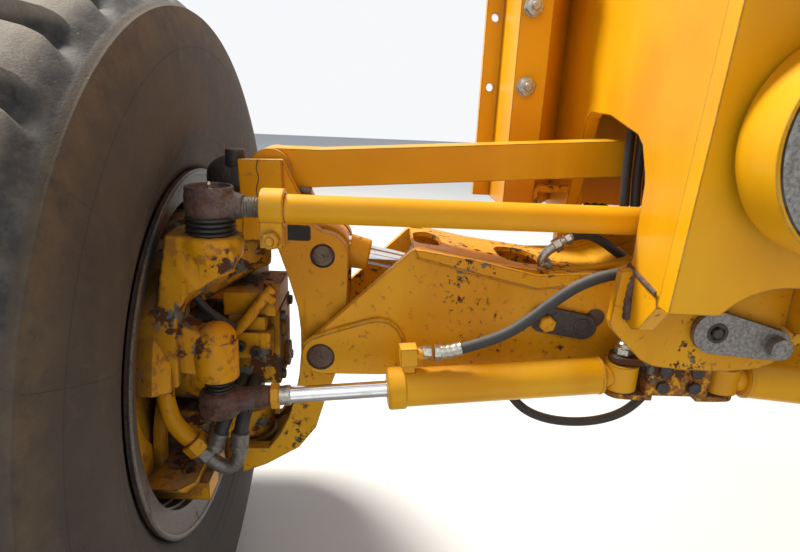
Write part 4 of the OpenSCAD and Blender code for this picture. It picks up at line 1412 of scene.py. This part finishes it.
@dataclass
class Nose:
    """Bolts, welds, brackets and hoses of the frame's nose."""

    side_y: float = 140.0
    bolt_x: float = 120.0
    bolt_y: float = 250.0
    bolt_heights: tuple[float, ...] = (383.0, 529.0, 675.0, 821.0)
    bracket: Outline = (
        (108, 294), (108, 326), (117, 337), (204, 337), (213, 326), (213, 294), (203, 294), (203, 322),
        (119, 322), (119, 294))
    sleeve: Outline = ((125, 0), (129, 0), (130, 2), (130, 74), (125, 74))
    lip: Outline = ((94, 1), (104, 0), (121, 0), (124.5, 3), (124.5, 8), (94, 8))

    def build(self) -> None:
        """Builds the nose's pieces."""
        for side in Side:
            self.flank(side)
        self.centre()
        self.hoses()

    def flank(self, side: Side) -> None:
        """Builds the bolts, welds and bracket of one side.

        Args:
            side: Side of the nose.
        """
        y = self.side_y
        bolts = Form(side)
        for z in self.bolt_heights:
            bolts.bolt((self.bolt_x, self.bolt_y, z), REAR, 36, 15, 19, 9)
        bolts.piece("nose_bolts", ZINC, "nose")
        weld = Form(side)
        weld.bead([(-356, y + 3, 252), (-396, y + 3, 688), (-596, y + 3, 728)], 6.5)
        weld.piece("nose_seam", WELD_PAINT, "nose")
        roll = Form(side)
        roll.bead([(-243, y, 252), (-247, y + 2, 216), (-252, y, 184)], 9.0)
        roll.bead([(-226, y - 1, 264), (-326, y - 1, 250)], 5.0)
        roll.piece("nose_gusset_weld", ROD_IRON, "nose")
        bracket = Form(side)
        bracket.prism(Axis.X, self.bracket, 112, 140)
        bracket.piece("nose_bracket", PAINT, "nose", 2.0)

    def centre(self) -> None:
        """Builds the drawbar socket's sleeve and the bolt of the pin's retainer."""
        sleeve = Form()
        sleeve.hoop((-499, 0, SOCKET_Z), AHEAD, self.sleeve, 96)
        sleeve.piece("drawbar_sleeve", NOSE_PAINT, "nose", 0.8)
        lip = Form()
        lip.hoop((-502, 0, SOCKET_Z), AHEAD, self.lip, 96)
        lip.piece("drawbar_lip", PLATE_STEEL, "nose", 0.8)
        bolt = Form()
        bolt.bolt((-257, 0, CENTRE_PIN_Z), REAR, 19, 10)
        bolt.hoop((-264, 0, CENTRE_PIN_Z), REAR, [(12, -1), (17, -1), (16.6, 0.8), (12.4, 0.8)])
        bolt.piece("pin_retainer_bolt", DARK_IRON, "nose")

    def hoses(self) -> None:
        """Builds the three hoses that run down inside the nose, each nearer the middle."""
        form = Form()
        for shift in (0, 17, 34):
            back = -70 - shift / 3
            form.bent([(-120, 114, 600), (-90, 106, 540), (back + 4, 102 - shift, 470),
                       (back, 100 - shift, 380),
                       (back, 96 - shift, 316), (-30, 92 - shift, 297), (60, 88 - shift, 293),
                       (152, 84 - shift, 290)], 8, 14)
        form.piece("nose_hoses", HOSE, "nose")


@dataclass
class Cylinders:
    """Glands, eyes and fittings of the steering and lean cylinders."""

    lean_base: Point = (0.0, 130.0, 127.0)
    lean_eye: Point = (0.0, LEAN_Y, LEAN_EYE_Z)
    steer_gland: Outline = ((14.6, 0), (34, 0), (36.5, 2), (36.5, 27), (34, 31), (24, 33), (14.6, 33))
    steer_weld: Outline = ((20, 0), (30, 0), (34, 4), (34, 9), (30, 11), (20, 11))
    base_nut: Outline = ((0, 0), (13, 0), (13, 8), (10, 11), (6, 13), (5, 19), (0, 20))
    lean_eye_ring: Outline = ((33, 0), (45, 0), (47, 3), (47, 59), (45, 62), (33, 62))
    lean_neck: Outline = ((19.5, 0), (27, 0), (30, 3), (31, 20), (33, 40), (19.5, 40))
    lean_gland: Outline = ((19.4, 0), (33, 0), (34, 1.5), (34, 16), (31, 19), (19.4, 19))

    def build(self) -> None:
        """Builds the cylinders' pieces."""
        for side in Side:
            self.steering(side)
        self.lean()

    def steering(self, side: Side) -> None:
        """Builds a steering cylinder's gland, hose nuts, weld and base fitting.

        Args:
            side: Side of the axle.
        """
        base = Vector(STEER_BASE)
        line = (Vector(STEER_EYE) - base).normalized()
        body = f"steer_barrel_{side.word}"
        gland = Form(side)
        gland.hoop(tuple(base + line * 387), tuple(line), self.steer_gland)
        gland.piece("steering_gland", LINK_PAINT, body, 1.0)
        nuts = Form(side)
        for y, across, length in ((451, 25, 15), (432, 30, 12), (458, 21, 8)):
            nuts.hexagon((-188, y, 87.4), (0, -1, 0.02), across, length)
        nuts.piece("steering_hose_nuts", ZINC, body, 0.6)
        weld = Form(side)
        weld.hoop(tuple(base + line * 36), tuple(line), self.steer_weld)
        weld.piece("steering_barrel_weld", WELD_PAINT, body, 1.0)
        top = Form(side)
        top.hexagon((base.x, base.y, 82), UP, 34, 12)
        top.turned((base.x, base.y, 94), UP, self.base_nut, 20)
        top.piece("steering_base_nut", ZINC, "axle", 0.6)
        bolts = Form(side)
        for z in (34, 66):
            bolts.bolt((-185, 28, z), REAR, 24, 9)
        bolts.piece("steering_bracket_bolts", DARK_IRON, "axle")

    def lean(self) -> None:
        """Builds the lean cylinder's eye, neck and gland, and the lean bar's stud."""
        base, end = Vector(self.lean_base), Vector(self.lean_eye)
        line = (end - base).normalized()
        eye = Form()
        eye.hoop(tuple(end - Vector((31, 0, 0))), AHEAD, self.lean_eye_ring)
        eye.hoop(tuple(base + line * ((end - base).length - 84)), tuple(line), self.lean_neck)
        eye.piece("lean_rod_casting", PAINT, "lean_rod", 1.0)
        gland = Form()
        gland.hoop(tuple(base + line * 334), tuple(line), self.lean_gland)
        gland.piece("lean_gland", DARK_IRON, "lean_barrel", 0.8)
        stud = Form()
        thread = [(5.6 if k % 2 else 7.0, 2.0 * k) for k in range(12)]
        stud.turned((-34, 678, 333), (0, -1, -0.12), [(0, 0), *thread, (0, 22)], 20)
        stud.piece("lean_bar_stud", FITTING, "lean_bar")


@dataclass
class Rim:
    """The worn lip and the steps inside a rim."""

    side: Side
    edge_y: float = 876.0
    lip: Outline = ((346, 0.5), (350, -2), (354, -2), (356.5, 0), (356, 3), (350, 3))
    steps: tuple[tuple[float, Outline], ...] = (
        (902, ((305.6, 0), (302, 1), (301.5, 4), (302, 7), (305.6, 8))),
        (926, ((305.6, 0), (301, 1.5), (300.8, 12), (305.6, 14))))

    def build(self) -> None:
        """Builds the rim's pieces."""
        body = f"wheel_{self.side.word}"
        lip = Form(self.side)
        lip.hoop((0, self.edge_y, 0), OUTWARD, self.lip, 128)
        lip.piece("rim_lip", LIP_STEEL, body)
        steps = Form(self.side)
        for y, section in self.steps:
            steps.hoop((0, y, 0), OUTWARD, section, 96)
        steps.piece("rim_steps", RIM_STEEL, body)


def dress_nodes(nodes: Mapping[str, bpy.types.Object]) -> None:
    """Gives every node its finish.

    Args:
        nodes: The frame's nodes by name.
    """
    words = {
        "nose": NOSE_PAINT, "mount": NOSE_PAINT, "pin_lugs": PAINT, "centre_pin": PLATE_STEEL,
        "pin_retainer": PLATE_STEEL, "drawbar": BLACK_PAINT, "beam": PAINT, "beam_retainer": DARK_IRON,
        "pivot": PAINT, "steer_bracket": FLAKED_PAINT, "lean_pins": PIN_STEEL, "lean_barrel": LINK_PAINT,
        "yoke": ARM_PAINT, "yoke_pins": PIN_STEEL, "kingpin_cap": BLACK_PAINT, "knuckle": CAST_PAINT,
        "hub_motor": CAST_PAINT, "motor_pipes": LINK_PAINT, "tyre": TYRES[Side.LEFT], "rim": RIM_STEEL,
        "wheel_hub": ARM_PAINT, "lean_bar": LINK_PAINT, "track_rod_boot": BOOT, "track_rod": LINK_PAINT,
        "lean_rod": CHROME, "steer_barrel": LINK_PAINT, "steer_rod": CHROME, "steer_hose": HOSE,
        "loop_hose": HOSE, "hose_block": ZINC,
    }
    for name, node in nodes.items():
        word = max((w for w in words if name.startswith(w)), key=len)
        node.data.materials.clear()
        node.data.materials.append(material_of(words[word]))
        node["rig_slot"] = words[word].slot.value


@dataclass(frozen=True)
class Lamp:
    """A soft lamp: where it hangs and points in the frame's metres, its width, watts and colour."""

    name: str
    place: Point
    aim: Point
    size: float
    watts: float
    colour: Colour

    def build(self) -> None:
        """Hangs the lamp."""
        data = bpy.data.lights.new(self.name, "AREA")
        data.size = self.size
        data.energy = self.watts
        data.color = self.colour
        lamp = bpy.data.objects.new(self.name, data)
        bpy.context.scene.collection.objects.link(lamp)
        lamp.location = self.place
        lamp.rotation_euler = (Vector(self.aim) - Vector(self.place)).to_track_quat("-Z", "Y").to_euler()


@dataclass
class Studio:
    """The camera, the floor and the lights."""

    place: Point = (-0.467, 0.530, -0.360)
    yaw: float = 2.2
    pitch: float = 17.15
    roll: float = 2.5
    lens: float = 26.1
    sky_strength: float = 0.42
    floor_reach: float = 16000.0
    lamps: tuple[Lamp, ...] = (
        Lamp("key", (2.9, 3.7, 5.2), (0.4, 0.3, -0.7), 1.5, 900.0, (1.0, 0.96, 0.88)),
        Lamp("fill", (-3.8, 1.6, 2.4), (0.5, 0.2, -0.8), 3.5, 42.0, (1.0, 0.97, 0.92)),
        Lamp("right", (0.6, -5.0, 2.2), (0.5, 0.0, -0.8), 3.5, 45.0, (1.0, 0.98, 0.95)))

    def camera(self) -> None:
        """Sets the camera where the photograph was taken."""
        yaw, pitch, roll = (math.radians(v) for v in (self.yaw, self.pitch, self.roll))
        ahead = Vector((math.cos(yaw) * math.cos(pitch), -math.sin(yaw) * math.cos(pitch), -math.sin(pitch)))
        right = Vector((-math.sin(yaw), -math.cos(yaw), 0))
        down = ahead.cross(right)
        across = right * math.cos(roll) - down * math.sin(roll)
        lower = right * math.sin(roll) + down * math.cos(roll)
        data = bpy.data.cameras.new("camera")
        data.lens = self.lens
        data.clip_start = 0.02
        eye = bpy.data.objects.new("camera", data)
        bpy.context.scene.collection.objects.link(eye)
        turn = Matrix((across, -lower, -ahead)).transposed()
        eye.matrix_world = Matrix.Translation(Vector(self.place)) @ turn.to_4x4()
        bpy.context.scene.camera = eye

    def floor(self) -> None:
        """Lays the pale floor under the tyres."""
        form = Form()
        reach, low = self.floor_reach, -TYRE_RADIUS
        form.skin([(-reach, -reach, low), (reach, -reach, low), (reach, reach, low), (-reach, reach, low)],
                  [(0, 1, 2, 3)])
        data = bpy.data.meshes.new("floor")
        form.mesh.to_mesh(data)
        form.mesh.free()
        floor = bpy.data.objects.new("floor", data)
        bpy.context.scene.collection.objects.link(floor)
        floor.data.materials.append(material_of(GROUND))

    def world(self) -> None:
        """Sets a soft sky that looks white behind the object."""
        world = bpy.data.worlds.new("studio")
        bpy.context.scene.world = world
        world.use_nodes = True
        tree = world.node_tree
        tree.nodes.clear()
        rays = tree.nodes.new("ShaderNodeLightPath")
        seen = tree.nodes.new("ShaderNodeMath")
        seen.operation = "MAXIMUM"
        tree.links.new(rays.outputs["Is Camera Ray"], seen.inputs[0])
        more = tree.nodes.new("ShaderNodeMath")
        more.operation = "MAXIMUM"
        tree.links.new(rays.outputs["Is Glossy Ray"], more.inputs[0])
        tree.links.new(rays.outputs["Is Transmission Ray"], more.inputs[1])
        tree.links.new(more.outputs[0], seen.inputs[1])
        sky, white = (tree.nodes.new("ShaderNodeBackground") for _ in range(2))
        sky.inputs["Color"].default_value = (0.80, 0.88, 1.0, 1.0)
        sky.inputs["Strength"].default_value = self.sky_strength
        white.inputs["Color"].default_value = (0.93, 0.94, 0.96, 1.0)
        white.inputs["Strength"].default_value = 1.0
        choice = tree.nodes.new("ShaderNodeMixShader")
        tree.links.new(seen.outputs[0], choice.inputs[0])
        tree.links.new(sky.outputs[0], choice.inputs[1])
        tree.links.new(white.outputs[0], choice.inputs[2])
        end = tree.nodes.new("ShaderNodeOutputWorld")
        tree.links.new(choice.outputs[0], end.inputs["Surface"])

    def build(self) -> None:
        """Sets up the studio."""
        self.camera()
        self.floor()
        for lamp in self.lamps:
            lamp.build()
        self.world()
        bpy.context.scene.view_settings.view_transform = "Standard"


def main() -> None:
    """Builds the scene, the object's pieces in order."""
    logging.basicConfig(level=logging.INFO, format="%(message)s")
    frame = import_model()
    Studio().build()
    HoseLine("steering_hose_left", Side.LEFT, "steer_hose_left", STEER_ROUTE, 0.45).build()
    HoseLine("steering_hose_right", Side.RIGHT, "steer_hose_right", STEER_ROUTE, 0.45).build()
    HoseLine("hanging_hose", Side.LEFT, "loop_hose", LOOP_ROUTE, 0.47, crimps=False).build()
    dress_nodes(frame["nodes"])
    for side in Side:
        Tyre(side).build()
        SteeringRod(side).build()
    TrackRod().build()
    Boot("track_rod_boot", "track_rod_boot", Side.LEFT, 286.0, 316.0, 38.0, 38.0, 4,
         ("track_rod_boot",)).build()
    Boot("track_rod_boot", "knuckle_right", Side.RIGHT, 286.0, 313.0, 38.0, 38.0, 4).build()
    for side in Side:
        Boot("steering_boot_upper", f"knuckle_{side.word}", side, 33.0, 46.0, 25.0, 29.0).build()
        Boot("steering_boot_lower", f"steer_rod_{side.word}", side, 20.0, 31.0, 26.0, 23.0).build()
    for side in Side:
        for kind in (Knuckle, Yoke, Rim):
            kind(side).build()
    for kind in (Beam, Nose, Cylinders):
        kind().build()


if __name__ == "__main__":
    main()
